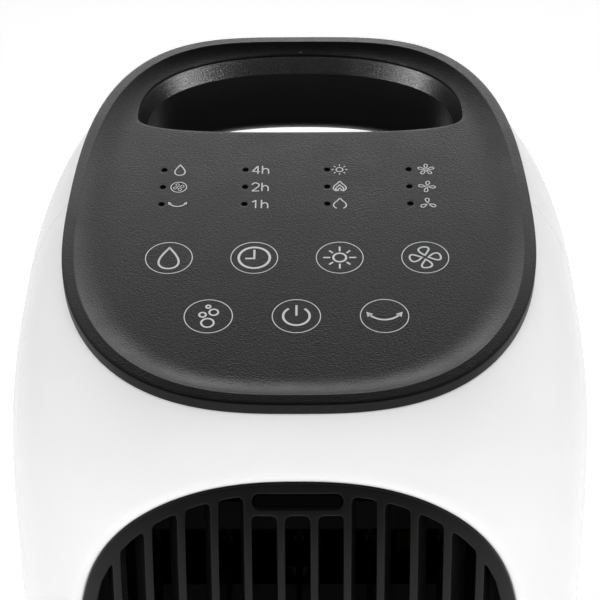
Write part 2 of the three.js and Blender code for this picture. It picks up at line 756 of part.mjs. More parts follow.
// The hose rises from the pump, swings out beside the pad and comes back in above it.
function makeHose() {
  const points = [new THREE.Vector3(PUMP_X, HOSE_Y, DECK[0])];
  const steps = 4;
  const bend = (x, z, from, to) => {
    for (let i = 0; i <= steps; i++) {
      const angle = THREE.MathUtils.degToRad(from + ((to - from) * i) / steps);
      points.push(new THREE.Vector3(
        x + HOSE_BEND * Math.cos(angle), HOSE_Y, z + HOSE_BEND * Math.sin(angle)));
    }
  };
  const middle = PUMP_X - HOSE_BEND;
  const lower = DECK[1] + 3;
  const upper = 457;
  bend(middle, lower, 0, 90);
  bend(middle, lower + 2 * HOSE_BEND, -90, -180);
  bend(middle, upper, 180, 90);
  points.push(new THREE.Vector3(-TROUGH_HALF_WIDTH - GAP, HOSE_Y, upper + HOSE_BEND));
  const path = new THREE.CatmullRomCurve3(points, false, "centripetal");
  const section = new THREE.Shape().absarc(0, 0, HOSE_RADIUS, 0, 2 * Math.PI);
  const options = { extrudePath: path, steps: 40, curveSegments: 4, bevelEnabled: false };
  return solid(new THREE.ExtrudeGeometry(section, options));
}

function makeDistributor() {
  const wall = 2.5;
  const trough = cut(
    block(both(TROUGH_HALF_WIDTH), [84, 106], [473, 488]),
    block(both(TROUGH_HALF_WIDTH - wall), [84 + wall, 106 - wall], [473 + wall, 490]),
  );
  const drips = [-60, -36, -12, 12, 36, 60].map((x) => rodZ(1.6, x, 95, [470, 480], 8));
  return cut(trough, ...drips);
}

function makeDripTray() {
  const wall = 2.5;
  return cut(
    block(both(96), [80, 110], [190, 203]),
    block(both(96 - wall), [80 + wall, 110 - wall], [190 + wall, 205]),
    rodZ(5, 40, 95, [180, 200], 12),
  );
}

function makePad() {
  return block(both(PAD_HALF_WIDTH), PAD_Y, PAD_Z);
}

function makePadFrame() {
  const [y0, y1] = PAD_Y;
  const [z0, z1] = PAD_Z;
  const half = PAD_HALF_WIDTH;
  const lip = 5; // how far the frame overlaps the pad's faces
  const middleBar = 2;
  const outer = block(both(half + 4), [y0 - 3, y1 + 3], [z0 - 4, z1 + 4]);
  const pocket = block(both(half + GAP), [y0 - GAP, y1 + GAP], [z0 - GAP, z1 + GAP]);
  const windows = [[-half + lip, -middleBar], [middleBar, half - lip]].map((xs) =>
    block(xs, [y0 - 10, y1 + 10], [z0 + lip, z1 - lip]));
  return cut(outer, pocket, ...windows);
}

// ---------------------------------------------------------------- rear intake door

function makeDoor() {
  const outline = roundedRectangle(both(DOOR_HALF_WIDTH), DOOR_Z, 11);
  const panel = layer(GAP, GAP + DOOR_THICKNESS, outline, REAR);
  const height = [DOOR_Z[0] + DOOR_BORDER, DOOR_Z[1] - DOOR_BORDER];
  const slits = Array.from({ length: DOOR_SLITS }, (_, i) => {
    const middle = (i - (DOOR_SLITS - 1) / 2) * DOOR_SLIT_PITCH;
    return block([middle - DOOR_SLIT / 2, middle + DOOR_SLIT / 2], REAR, height);
  });
  return cut(panel, ...slits);
}

function makeDustFilter() {
  const border = 5;
  const half = 80;
  const bottom = DOOR_Z[0] + 8;
  const top = DOOR_Z[1] - 8;
  const pocket = (ys) => block(both(half - border), ys, [bottom + border, top - border]);
  return cut(
    block(both(half), [124, 129.4], [bottom, top]), pocket([120, 126.4]), pocket([127.6, 135]));
}

// ---------------------------------------------------------------- chassis, base and electrics

// A slab of the body's outline, drawn in by an inset.
function crossSection(inset, heights) {
  const outline = ringOf((angle) => {
    const { x, y } = wallPoint(angle, inset, 0);
    return new THREE.Vector2(x, y);
  });
  return prismZ(outline, heights);
}

function makeChassis() {
  const wallZ = [BASE_Z[1] + GAP, DECK[0] + 1];
  const wallY = [BAY_FRONT_Y[0], 118];
  const walls = [
    block([-BAY_WALL_OUTER, -BAY_WALL_INNER], wallY, wallZ),
    block([BAY_WALL_INNER, BAY_WALL_OUTER], wallY, wallZ),
    block(both(BAY_WALL_OUTER), BAY_FRONT_Y, wallZ),
  ];
  const deck = crossSection(BODY_WALL + 0.8, DECK);
  const frame = join(deck, ...walls).intersect(bodySolid(BODY_WALL + 2 * GAP));
  return cut(frame, rodZ(5, PUMP_X, HOSE_Y, [140, 160], 12));
}

function makeBase() {
  const plate = crossSection(7, BASE_Z);
  const counterbores = BASE_SCREWS.map(([x, y]) => rodZ(5, x, y, [0, 9.2], 16));
  const clearances = BASE_SCREWS.map(([x, y]) => rodZ(2.4, x, y, [0, 30], 8));
  return cut(plate, ...counterbores, ...clearances);
}

function makeBaseScrew() {
  return rodZ(4.5, 0, 0, [6.6, 8.8], 16).add(rodZ(2, 0, 0, [8.5, 15.8], 8));
}

function makeFoot() {
  const profile = [[0, 0], [10, 0], [11, 1], [12, 6], [0, 6]];
  const points = profile.map(([r, z]) => new THREE.Vector2(r, z));
  const geometry = new THREE.LatheGeometry(points, 24);
  geometry.rotateX(Math.PI / 2);
  return solid(geometry);
}

function makePowerBoard() {
  const seat = 161; // inside the plate, where its components start
  const plate = block(both(70), [-114, -52], [seat - 1, seat + 0.6]);
  const legs = [[-65, -108], [65, -108], [-65, -58], [65, -58]].map(([x, y]) =>
    rodZ(3, x, y, [DECK[1] + GAP, seat], 8));
  const transformer = block([-52, -20], [-100, -72], [seat, seat + 25]);
  const relays = [[8, 24], [30, 46]].map((xs) => block(xs, [-98, -84], [seat, seat + 15]));
  const capacitor = rodZ(6, 0, -66, [seat, seat + 22], 12);
  return join(plate, ...legs, transformer, ...relays, capacitor);
}

function makeTopPlate() {
  const heights = [492.4, 495];
  return crossSection(BODY_WALL + 3, heights).intersect(block(both(FAR), [-60, 130], heights));
}

function makeGland() {
  const body = rodY(9.6, OUTLET_X, OUTLET_Z, [134, 148.4]);
  const flange = rodY(13, OUTLET_X, OUTLET_Z, [134, 139]);
  return cut(body.add(flange), rodY(4, OUTLET_X, OUTLET_Z, [138, 160], 14));
}

// ---------------------------------------------------------------- assembly

const part = new THREE.Group();
const panelAxes = new THREE.Group();
panelAxes.position.z = CAP_HEIGHT;
panelAxes.rotation.x = CAP_TILT;
part.add(panelAxes);

function place(name, body, look, parent = part, x = 0, y = 0, z = 0) {
  const mesh = new THREE.Mesh(geometryOf(body), new THREE.MeshStandardMaterial(look));
  mesh.name = name;
  mesh.position.set(x, y, z);
  parent.add(mesh);
  return mesh;
}

const [frontShell, rearShell] = makeShells();
place("front_shell", frontShell, WHITE);
place("rear_shell", rearShell, WHITE);
place("handle_scoop", makeScoop(), BLACK);
place("handle_bar_underside", makeBarUnderside(), WHITE);
place("top_cap", makeCap(), BLACK, panelAxes);
place("handle_liner", makeHandleLiner(), BLACK, panelAxes);
place("control_board", makeControlBoard(), BOARD, panelAxes);
place("light_guide", makeLightGuide(), WATER_BLUE, panelAxes);

place("front_grille", makeGrille(), BLACK);
place("receiver_window", makeReceiverWindow(), SMOKE);
place("receiver_board", makeReceiverBoard(), BOARD);
place("louvre_frame", makeLouvreFrame(), DARK);
place("louvre_link", makeLouvreLink(), DARK);
place("swing_motor", makeSwingMotor(), STEEL);
LOUVRE_XS.forEach((x, i) => {
  const pinTop = x === 0 ? 543 : 530;
  place(`louvre_${i + 1}`, makeLouvre(pinTop), DARK, part, x, LOUVRE_Y);
});

place("fan_impeller", makeImpeller(), DARK, part, 0, FAN_Y);
place("fan_housing", makeFanHousing(), INNER);
place("housing_lid", makeHousingLid(), INNER);
place("fan_motor", makeMotor(), STEEL);
place("motor_mount", makeMotorMount(), RUBBER);
place("fan_bearing", makeBearing(), STEEL);
place("top_plate", makeTopPlate(), INNER);

place("heater_frame", makeHeaterFrame(), DARK);
place("heater_core", makeHeaterCore(), ALUMINIUM);
place("thermal_cutout", rodZ(9, 0, -76, [470.4, 477]), STEEL);
place("ioniser", block([90, 106], [-96, -78], [300, 345]), DARK);

place("pad_frame", makePadFrame(), INNER);
place("evaporative_pad", makePad(), PAPER);
place("water_distributor", makeDistributor(), INNER);
place("drip_tray", makeDripTray(), INNER);
place("water_hose", makeHose(), WATER_BLUE);
place("water_pump", makePump(), DARK);
place("water_tank", makeTank(), WATER_BLUE);
place("tank_front", makeTankFront(), WHITE);
place("level_window", makeGauge(), WATER_BLUE);

place("intake_door", makeDoor(), WHITE);
place("dust_filter", makeDustFilter(), DARK);

place("chassis", makeChassis(), INNER);
place("base", makeBase(), DARK);
place("power_board", makePowerBoard(), BOARD);
place("tilt_switch", block([70, 88], [-30, -12], [DECK[1] + GAP, 180]), DARK);
place("cord_gland", makeGland(), RUBBER);
FEET.forEach(([x, y], i) => place(`foot_${i + 1}`, makeFoot(), RUBBER, part, x, y));
BASE_SCREWS.forEach(([x, y], i) =>
  place(`base_screw_${i + 1}`, makeBaseScrew(), STEEL, part, x, y));
REAR_SCREWS.forEach(([x, z], i) => place(`rear_screw_${i + 1}`, makeRearScrew(x, z), STEEL));

export default part;
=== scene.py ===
import json
import math

import bmesh
import bpy
import numpy as np
from mathutils import Matrix, Vector
from mathutils.geometry import delaunay_2d_cdt


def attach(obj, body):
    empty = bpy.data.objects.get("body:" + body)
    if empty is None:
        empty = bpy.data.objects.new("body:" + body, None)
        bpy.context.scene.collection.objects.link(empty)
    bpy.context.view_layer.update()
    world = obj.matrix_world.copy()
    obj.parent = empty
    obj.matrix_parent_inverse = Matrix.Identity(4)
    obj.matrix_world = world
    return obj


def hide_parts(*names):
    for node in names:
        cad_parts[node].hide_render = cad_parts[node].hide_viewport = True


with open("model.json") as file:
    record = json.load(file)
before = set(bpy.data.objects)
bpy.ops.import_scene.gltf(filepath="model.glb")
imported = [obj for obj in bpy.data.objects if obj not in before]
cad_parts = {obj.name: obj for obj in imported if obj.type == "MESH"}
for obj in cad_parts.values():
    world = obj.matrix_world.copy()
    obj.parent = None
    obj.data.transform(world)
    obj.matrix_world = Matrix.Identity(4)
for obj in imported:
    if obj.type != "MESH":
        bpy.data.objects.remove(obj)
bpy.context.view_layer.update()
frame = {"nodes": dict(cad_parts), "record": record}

MM = 0.001

# ---- driving dimensions

CAP_HALF_WIDTH = 101.5
CAP_HALF_DEPTH = 124.2
CAP_FRONT_POWER = 2.85
CAP_REAR_POWER = 3.7
CAP_TAPER = 0.049
CAP_PINCH = 0.0945
CAP_TILT = math.radians(12)
CAP_HEIGHT = 610
CAP_RIM = 3.1
CAP_RIM_WIDTH = 5
CAP_RIM_SLOPE = 0.11
CAP_COVE_END = 17.5
CAP_COVE_POWER = 2.2
CAP_UNDERSIDE = -2.6

BODY_HALF_WIDTH = 129.3
BODY_HALF_DEPTH = 152
BODY_POWER = 2.87
BODY_WALL = 2.5
BODY_FOOT = 16.3
FOOT_TURN_HEIGHT = 7
FOOT_TURN_IN = 3.5
SHOULDER_DROP = 170
SHOULDER_POWER = 5.7
SHOULDER_INSET = 1.5
SHOULDER_LEVEL = -3
SEAM_Y = 12
SEAM_GAP = 0.3
GAP = 0.4

GRILLE_HALF_WIDTH = 92.6
GRILLE_TOP = CAP_HEIGHT - 50.5
GRILLE_BOTTOM = CAP_HEIGHT - 393.7
GRILLE_END = 97
GRILLE_POWER = 2.5
GRILLE_FRAME = 5.5
GRILLE_FRAME_TOP = 3.8
GRILLE_DEPTH = 11
GRILLE_PITCH = 13.15
GRILLE_SLIT = 9.95
GRILLE_COLUMNS = 6
GRILLE_SPREAD = 0.0006
SLOT_TOP = CAP_HEIGHT - 54.3
SLOT_BOTTOM = CAP_HEIGHT - 60.1
SLOT_HALF_WIDTH = 18.1
SHORT_SLIT_TOP = CAP_HEIGHT - 62.5

HANDLE_MIDDLE = 66
HANDLE_HALF_WIDTH = 75
HANDLE_FRONT = 13
HANDLE_REAR = 46
HANDLE_FRONT_POWER = 3
HANDLE_REAR_POWER = 2.3

FRONT = -1
REAR = 1

# ---- meshes


def add_piece(name, made, look, replaced=(), body="housing", sharp=35):
    """A smooth-shaded piece of (points, faces) that rides on a CAD body and may stand for CAD nodes."""
    points, faces = made
    mesh = bpy.data.meshes.new(name)
    mesh.from_pydata([tuple(p) for p in np.asarray(points) * MM], [], [tuple(f) for f in faces])
    shape = bmesh.new()
    shape.from_mesh(mesh)
    bmesh.ops.recalc_face_normals(shape, faces=shape.faces)
    shape.to_mesh(mesh)
    shape.free()
    mesh.polygons.foreach_set("use_smooth", [True] * len(mesh.polygons))
    mesh.set_sharp_from_angle(angle=math.radians(sharp))
    mesh.materials.append(LOOKS[look])
    piece = bpy.data.objects.new(name, mesh)
    bpy.context.scene.collection.objects.link(piece)
    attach(piece, body)
    if replaced:
        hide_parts(*replaced)
    return piece


def turned(loop, outer):
    """The loop, running so that the material is on its left."""
    x, y = loop[:, 0], loop[:, 1]
    area = np.sum(x * np.roll(y, -1) - np.roll(x, -1) * y)
    return loop if (area > 0) == outer else loop[::-1]


def shifted(loop, distance):
    """The loop moved to its left, into the material."""
    along = np.roll(loop, -1, 0) - np.roll(loop, 1, 0)
    along /= np.maximum(np.linalg.norm(along, axis=1, keepdims=True), 1e-9)
    return loop + distance * np.stack([-along[:, 1], along[:, 0]], 1)


def inside(points, loop):
    """Which points lie inside a closed loop, by counting crossings."""
    hits = np.zeros(len(points), bool)
    for (x0, y0), (x1, y1) in zip(loop, np.roll(loop, -1, 0)):
        if y0 == y1:
            continue
        crosses = (points[:, 1] < y0) != (points[:, 1] < y1)
        at = x0 + (points[:, 1] - y0) * (x1 - x0) / (y1 - y0)
        hits ^= crosses & (points[:, 0] < at)
    return hits


def distance_to(points, loop):
    """How far each point is from a loop's nearest vertex."""
    nearest = np.full(len(points), np.inf)
    for start in range(0, len(loop), 64):
        part = loop[start:start + 64]
        gaps = np.linalg.norm(points[:, None, :] - part[None, :, :], axis=2)
        nearest = np.minimum(nearest, gaps.min(1))
    return nearest


OUTER_CLEARANCE = 0.9  # between fill points and the outer loop's skin
HOLE_CLEARANCE = 0.7
EDGE_STEPS = 4


def plate(loops, surface, edges, fill, back):
    """A closed sheet with rolled edges. Loops, the outer one first, and fill points lie in the
    surface's own two coordinates; surface(points, depth) and back(points) place them in space."""
    loops = [turned(np.asarray(loop, float), i == 0) for i, loop in enumerate(loops)]
    skins = [shifted(loop, edge) for loop, edge in zip(loops, edges)]
    keep = inside(fill, skins[0]) & (distance_to(fill, skins[0]) > OUTER_CLEARANCE)
    for skin in skins[1:]:
        keep &= ~inside(fill, skin) & (distance_to(fill, skin) > HOLE_CLEARANCE)
    flat = np.concatenate(skins + [fill[keep]])
    starts = np.cumsum([0] + [len(skin) for skin in skins])
    links = [
        (start + i, start + (i + 1) % len(skin))
        for start, skin in zip(starts, skins) for i in range(len(skin))
    ]
    made = delaunay_2d_cdt([Vector(p) for p in flat], links, [], 0, 1e-7)
    flat = np.array([tuple(v) for v in made[0]])
    place_of = {given: at for at, several in enumerate(made[3]) for given in several}
    triangles = np.array(made[2])
    middles = flat[triangles].mean(1)
    good = inside(middles, skins[0])
    for skin in skins[1:]:
        good &= ~inside(middles, skin)
    triangles = triangles[good]
    used = np.unique(triangles)
    renumber = np.full(len(flat), -1)
    renumber[used] = np.arange(len(used))
    triangles = renumber[triangles]
    count = len(used)
    points = [surface(flat[used], 0), back(flat[used])]
    faces = [tuple(t) for t in triangles]
    faces += [tuple(t[::-1] + count) for t in triangles]
    total = 2 * count
    for loop, skin, edge, start in zip(loops, skins, edges, starts):
        top = [renumber[place_of[start + i]] for i in range(len(loop))]
        rings = [top]
        for step in range(1, EDGE_STEPS + 1):
            angle = step / EDGE_STEPS * math.pi / 2
            ring = shifted(loop, edge * (1 - math.sin(angle)))
            points.append(surface(ring, edge * (1 - math.cos(angle))))
            rings.append(list(range(total, total + len(loop))))
            total += len(loop)
        points.append(back(loop))
        rings.append(list(range(total, total + len(loop))))
        total += len(loop)
        rings.append([i + count for i in top])
        for low, high in zip(rings, rings[1:]):
            for i in range(len(loop)):
                j = (i + 1) % len(loop)
                faces.append((low[i], low[j], high[j], high[i]))
    return np.concatenate(points), faces


def loft(rings, closed=False):
    """Quads over a stack of rings, with a face over each end; closed joins the last to the first."""
    rings = [np.asarray(ring, float) for ring in rings]
    sides = len(rings[0])
    faces = []
    count = len(rings)
    for r in range(count if closed else count - 1):
        low = r * sides
        high = ((r + 1) % count) * sides
        for i in range(sides):
            j = (i + 1) % sides
            faces.append((low + i, low + j, high + j, high + i))
    if not closed:
        faces.append(tuple(range(sides))[::-1])
        faces.append(tuple(range((count - 1) * sides, count * sides)))
    return np.concatenate(rings), faces


def joined(*meshes):
    """Several meshes as one."""
    points = []
    faces = []
    total = 0
    for more_points, more_faces in meshes:
        points.append(np.asarray(more_points, float))
        faces += [tuple(i + total for i in face) for face in more_faces]
        total += len(more_points)
    return np.concatenate(points), faces


# ---- outlines


def resampled(loop, spacing):
    """A closed loop with points at an even spacing along it."""
    loop = np.asarray(loop, float)
    closed = np.concatenate([loop, loop[:1]])
    lengths = np.concatenate([[0], np.cumsum(np.linalg.norm(np.diff(closed, axis=0), axis=1))])
    count = max(8, int(round(lengths[-1] / spacing)))
    at = np.linspace(0, lengths[-1], count, endpoint=False)
    return np.stack([np.interp(at, lengths, closed[:, k]) for k in range(2)], 1)


def reach(angle, power):
    """How far a superellipse of half size 1 reaches in a direction."""
    return (np.abs(np.cos(angle)) ** power + np.abs(np.sin(angle)) ** power) ** (-1 / power)


def cap_outline(along, across, inset):
    """The cap's outline in a direction: narrower towards the rear, and at both of its ends."""
    power = np.where(across < 0, CAP_FRONT_POWER, CAP_REAR_POWER)
    far = (np.abs(along) ** power + np.abs(across) ** power) ** (-1 / power)
    share = far * across
    u = (CAP_HALF_WIDTH - inset) * far * along * (1 - CAP_TAPER * share - CAP_PINCH * share * share)
    return u, (CAP_HALF_DEPTH - inset) * share


def full_turn(count):
    return np.linspace(0, 2 * math.pi, count, endpoint=False)


def superellipse(half_width, half_depth, power, count):
    """A rounded outline. Each measure may differ from direction to direction."""
    angle = full_turn(count)
    far = reach(angle, power)
    return np.stack([half_width * far * np.cos(angle), half_depth * far * np.sin(angle)], 1)


def circle(x, y, radius, count):
    angle = full_turn(count)
    return np.stack([x + radius * np.cos(angle), y + radius * np.sin(angle)], 1)


def rounded_box(x0, x1, y0, y1, radius, spacing=1.5):
    corners = [(x1, y0, -90), (x1, y1, 0), (x0, y1, 90), (x0, y0, 180)]
    points = []
    for x, y, start in corners:
        middle_x = x - math.copysign(radius, x - (x0 + x1) / 2)
        middle_y = y - math.copysign(radius, y - (y0 + y1) / 2)
        for step in range(9):
            angle = math.radians(start + step * 90 / 8)
            points.append((middle_x + radius * math.cos(angle), middle_y + radius * math.sin(angle)))
    return resampled(points, spacing)


NEARLY_STRAIGHT = 0.94
FILLET_LIMIT = 0.48  # of the shorter side


def filleted(loop, radius_of, spacing):
    """The loop with each sharp corner turned into a curve; radius_of(corner) gives how far back."""
    loop = np.asarray(loop, float)
    points = []
    for i, corner in enumerate(loop):
        before = loop[i - 1] - corner
        after = loop[(i + 1) % len(loop)] - corner
        size_before = np.linalg.norm(before)
        size_after = np.linalg.norm(after)
        straight = -np.dot(before, after) / (size_before * size_after)
        if straight > NEARLY_STRAIGHT:
            points.append(corner)
            continue
        radius = min(radius_of(corner), FILLET_LIMIT * min(size_before, size_after))
        start = corner + before / size_before * radius
        end = corner + after / size_after * radius
        for t in np.linspace(0, 1, 9):
            points.append((1 - t) ** 2 * start + 2 * t * (1 - t) * corner + t * t * end)
    return resampled(points, spacing)


# ---- body surface


def on_panel(u, w, level):
    """Points in space from the cap's own coordinates."""
    return np.stack([
        u + 0 * w,
        w * math.cos(CAP_TILT) - level * math.sin(CAP_TILT),
        CAP_HEIGHT + w * math.sin(CAP_TILT) + level * math.cos(CAP_TILT),
    ], -1)


def wall_at(turn, side, inset=0.0):
    """The upright wall's x and y, turning from the middle of the front or rear."""
    far = reach(turn, BODY_POWER)
    return (
        (BODY_HALF_WIDTH - inset) * far * np.sin(turn),
        side * (BODY_HALF_DEPTH - inset) * far * np.cos(turn),
    )


TURNS = np.radians(np.linspace(-125, 125, 5001))
STRAIGHT_AHEAD = len(TURNS) // 2
NEAR_MIDDLE = slice(STRAIGHT_AHEAD - 1800, STRAIGHT_AHEAD + 1800)  # where x rises all the way
WALL = np.stack(wall_at(TURNS, 1), 1)
WALL_LENGTHS = np.concatenate([[0], np.cumsum(np.linalg.norm(np.diff(WALL, axis=0), axis=1))])
WALL_LENGTHS -= WALL_LENGTHS[STRAIGHT_AHEAD]


def body_base(points, side):
    """The body's outer surface. A point is (distance round the wall from its middle, drop)."""
    around, drop = points[:, 0], points[:, 1]
    turn = np.interp(around, WALL_LENGTHS, TURNS)
    u, w = cap_outline(np.sin(turn), side * np.cos(turn), SHOULDER_INSET)
    edge = on_panel(u, w, SHOULDER_LEVEL)
    z = edge[:, 2] - drop
    low = np.clip((BODY_FOOT + FOOT_TURN_HEIGHT - z) / FOOT_TURN_HEIGHT, 0, 1)
    inset = FOOT_TURN_IN * (1 - np.sqrt(1 - low * low))
    x, y = wall_at(turn, side, inset)
    swell = 1 - (1 - np.clip(drop / SHOULDER_DROP, -1, 1)) ** SHOULDER_POWER
    return np.stack([edge[:, 0] + (x - edge[:, 0]) * swell, edge[:, 1] + (y - edge[:, 1]) * swell, z], 1)


def body_change(points, side, move):
    """How far apart the body's surface is at a small move either way."""
    return body_base(points + np.array(move), side) - body_base(points - np.array(move), side)


def body_surface(side, sunk=0.0, splay=None):
    """surface(points, depth) for plate(): depth runs inwards along the body's own normal."""
    def surface(points, depth):
        points = np.asarray(points, float)
        across = body_change(points, side, [0.05, 0])
        down = body_change(points, side, [0, 0.05])
        out = side * np.cross(across, down)
        out /= np.linalg.norm(out, axis=1, keepdims=True)
        placed = body_base(points, side) - out * (depth + sunk)
        if splay is not None:
            placed[:, 0] += depth * splay(placed)
        return placed

    return surface


def located(targets, side):
    """Surface coordinates of points given by x and z, by Newton's method."""
    targets = np.asarray(targets, float)
    around = np.interp(targets[:, 0], WALL[NEAR_MIDDLE, 0], WALL_LENGTHS[NEAR_MIDDLE])
    points = np.stack([around, np.zeros(len(targets))], 1)
    points[:, 1] = body_base(points, side)[:, 2] - targets[:, 1]
    step = 0.01
    for _ in range(25):
        now = body_base(points, side)[:, [0, 2]]
        a = (body_base(points + [step, 0], side)[:, [0, 2]] - now) / step
        b = (body_base(points + [0, step], side)[:, [0, 2]] - now) / step
        miss = targets - now
        det = a[:, 0] * b[:, 1] - b[:, 0] * a[:, 1]
        det = np.where(np.abs(det) < 1e-6, 1e-6, det)
        move = np.stack([
            (miss[:, 0] * b[:, 1] - b[:, 0] * miss[:, 1]) / det,
            (a[:, 0] * miss[:, 1] - miss[:, 0] * a[:, 1]) / det,
        ], 1)
        points += np.clip(move, -12, 12)
    return points


FILL_DROPS = [(1.5, 60, 2.5), (60, 175, 5), (175, 640, 11)]  # start, end and step
FILL_AROUND = np.arange(-268, 268, 4.3)
FILL_STAGGER = 2.1
FOOT_FILL = [1.2, 2.6, 4.2, 6, 9]  # heights above the foot, up to where the grid begins
GRID_FOOT = 12


def body_fill(side):
    """A grid of surface points, close where the shoulder bends and wide on the straight wall."""
    drops = np.concatenate([np.arange(*span) for span in FILL_DROPS])
    points = np.array([(a + i % 2 * FILL_STAGGER, d) for i, d in enumerate(drops) for a in FILL_AROUND])
    grid = points[body_base(points, side)[:, 2] > BODY_FOOT + GRID_FOOT]
    edge = np.stack([FILL_AROUND, 0 * FILL_AROUND], 1)
    edge_z = body_base(edge, side)[:, 2]
    rows = [np.stack([FILL_AROUND, edge_z - (BODY_FOOT + height)], 1) for height in FOOT_FILL]
    return np.concatenate([grid, *rows])


SHEET_HOLE_EDGE = 0.5


def body_sheet(side, outlines, sunk, thickness, edge):
    """A panel of even thickness that follows the body at a depth."""
    surface = body_surface(side, sunk)
    loops = [located(outline, side) for outline in outlines]
    edges = [edge, *[SHEET_HOLE_EDGE] * (len(loops) - 1)]
    return plate(loops, surface, edges, body_fill(side), lambda points: surface(points, thickness))


def racetrack(grow):
    """The grille's outline in x and z: a straight middle between two superelliptic ends."""
    points = superellipse(GRILLE_HALF_WIDTH + grow, GRILLE_END + grow, GRILLE_POWER, 720)
    upper = points[:, 1] >= 0
    points[:, 1] += np.where(upper, GRILLE_TOP - GRILLE_END, GRILLE_BOTTOM + GRILLE_END)
    return resampled(points, 1.6)


# ---- materials


def map_range(tree, value, low, high, from_low, from_high, interpolation="LINEAR"):
    """A node that maps a value from one range to another, in any node tree."""
    node = tree.nodes.new("ShaderNodeMapRange")
    node.interpolation_type = interpolation
    tree.links.new(value, node.inputs["Value"])
    ranges = {"From Min": from_low, "From Max": from_high, "To Min": low, "To Max": high}
    for label, number in ranges.items():
        node.inputs[label].default_value = number
    return node.outputs["Result"]


class Look:
    """A node material. Each part of its pattern is one short call."""

    def __init__(self, name, colour, roughness, slot=None, **constants):
        self.material = bpy.data.materials.new(name)
        self.material["slot"] = slot or name
        self.material.use_nodes = True
        self.tree = self.material.node_tree
        self.shader = self.tree.nodes["Principled BSDF"]
        self.colour = colour
        self.roughness = roughness
        for socket, value in constants.items():
            self.shader.inputs[socket.replace("_", " ")].default_value = value
        self.coordinates = self.tree.nodes.new("ShaderNodeTexCoord").outputs["Object"]

    def node(self, kind, **settings):
        node = self.tree.nodes.new(kind)
        for name, value in settings.items():
            setattr(node, name, value)
        return node

    def link(self, source, target):
        self.tree.links.new(source, target)

    def noise(self, size_mm, detail=2.0, stretch=(1, 1, 1)):
        """Noise whose blotches are about size_mm across."""
        mapping = self.node("ShaderNodeMapping")
        mapping.inputs["Scale"].default_value = stretch
        noise = self.node("ShaderNodeTexNoise")
        noise.inputs["Scale"].default_value = 1 / (size_mm * MM)
        noise.inputs["Detail"].default_value = detail
        self.link(self.coordinates, mapping.inputs["Vector"])
        self.link(mapping.outputs["Vector"], noise.inputs["Vector"])
        return noise.outputs["Fac"]

    def cells(self, size_mm, feature="F1"):
        voronoi = self.node("ShaderNodeTexVoronoi", feature=feature)
        voronoi.inputs["Scale"].default_value = 1 / (size_mm * MM)
        self.link(self.coordinates, voronoi.inputs["Vector"])
        return voronoi.outputs["Distance"]

    def mapped(self, value, low, high, from_low=0.3, from_high=0.7):
        """By default from the range that most of a noise lies in."""
        return map_range(self.tree, value, low, high, from_low, from_high)

    def tint(self, value, low, high):
        """The base colour, scaled between low and high by a value from 0 to 1."""
        mix = self.node("ShaderNodeMix", data_type="RGBA")
        self.link(self.mapped(value, 0, 1), mix.inputs["Factor"])
        mix.inputs["A"].default_value = (*[c * low for c in self.colour], 1)
        mix.inputs["B"].default_value = (*[min(1, c * high) for c in self.colour], 1)
        self.link(mix.outputs["Result"], self.shader.inputs["Base Color"])
        return self

    def gloss(self, value, spread):
        low, high = self.roughness - spread, self.roughness + spread
        self.link(self.mapped(value, low, high), self.shader.inputs["Roughness"])
        return self

    def bump(self, value, depth_mm):
        bump = self.node("ShaderNodeBump")
        bump.inputs["Strength"].default_value = 1.0
        bump.inputs["Distance"].default_value = depth_mm * MM
        self.link(value, bump.inputs["Height"])
        before = self.shader.inputs["Normal"].links
        if before:
            self.link(before[0].from_socket, bump.inputs["Normal"])
        self.link(bump.outputs["Normal"], self.shader.inputs["Normal"])
        return self


def moulded(name, colour, roughness, mottle, grain_mm, grain_depth, **constants):
    """Moulded plastic: cloudy colour and gloss, and the grain of the mould's surface."""
    look = Look(name, colour, roughness, **constants)
    look.tint(look.noise(38, 3), 1 - mottle, 1 + mottle)
    look.gloss(look.noise(17, 4), roughness * 0.12)
    look.bump(look.noise(grain_mm, 3), grain_depth)
    return look.material


def metal(name, colour, roughness, stretch, size_mm, depth_mm, **constants):
    """Bare metal with fine marks that run one way."""
    look = Look(name, colour, roughness, Metallic=1.0, **constants)
    marks = look.noise(size_mm, 4, stretch)
    look.tint(look.noise(25, 3), 0.93, 1.05)
    look.gloss(marks, 0.08)
    look.bump(marks, depth_mm)
    return look.material


def circuit_green():
    """Green lacquer over copper tracks, which show as a fine network."""
    look = Look("circuit_green", (0.02, 0.14, 0.05), 0.3)
    tracks = look.cells(2.6, "DISTANCE_TO_EDGE")
    look.tint(look.mapped(tracks, 1, 0, 0.02, 0.09), 0.75, 1.7)
    look.gloss(look.noise(6, 3), 0.06)
    look.bump(tracks, 0.02)
    return look.material


def pad_paper():
    """Cellulose sheets: slanting corrugations, fibres and damp patches."""
    look = Look("pad_paper", (0.42, 0.27, 0.12), 0.9)
    waves = look.node("ShaderNodeTexWave", wave_type="BANDS", bands_direction="DIAGONAL")
    waves.inputs["Scale"].default_value = 70
    waves.inputs["Distortion"].default_value = 0.6
    look.link(look.coordinates, waves.inputs["Vector"])
    look.tint(look.noise(30, 5), 0.75, 1.1)
    look.gloss(look.noise(8, 3), 0.05)
    look.bump(waves.outputs["Fac"], 1.2)
    look.bump(look.noise(0.7, 4), 0.1)
    return look.material


def filter_weave():
    """A dark frame's plastic, woven into a fine mesh over its open middle."""
    look = Look("filter_weave", (0.05, 0.05, 0.053), 0.6, slot="frame_grey")
    weave = look.node("ShaderNodeTexBrick")
    weave.inputs["Scale"].default_value = 420
    weave.inputs["Mortar Size"].default_value = 0.08
    look.link(look.coordinates, weave.inputs["Vector"])
    look.tint(look.mapped(weave.outputs["Fac"], 0, 1, 0, 1), 1.0, 0.35)
    look.gloss(look.noise(9, 3), 0.05)
    look.bump(weave.outputs["Fac"], 0.1)
    return look.material


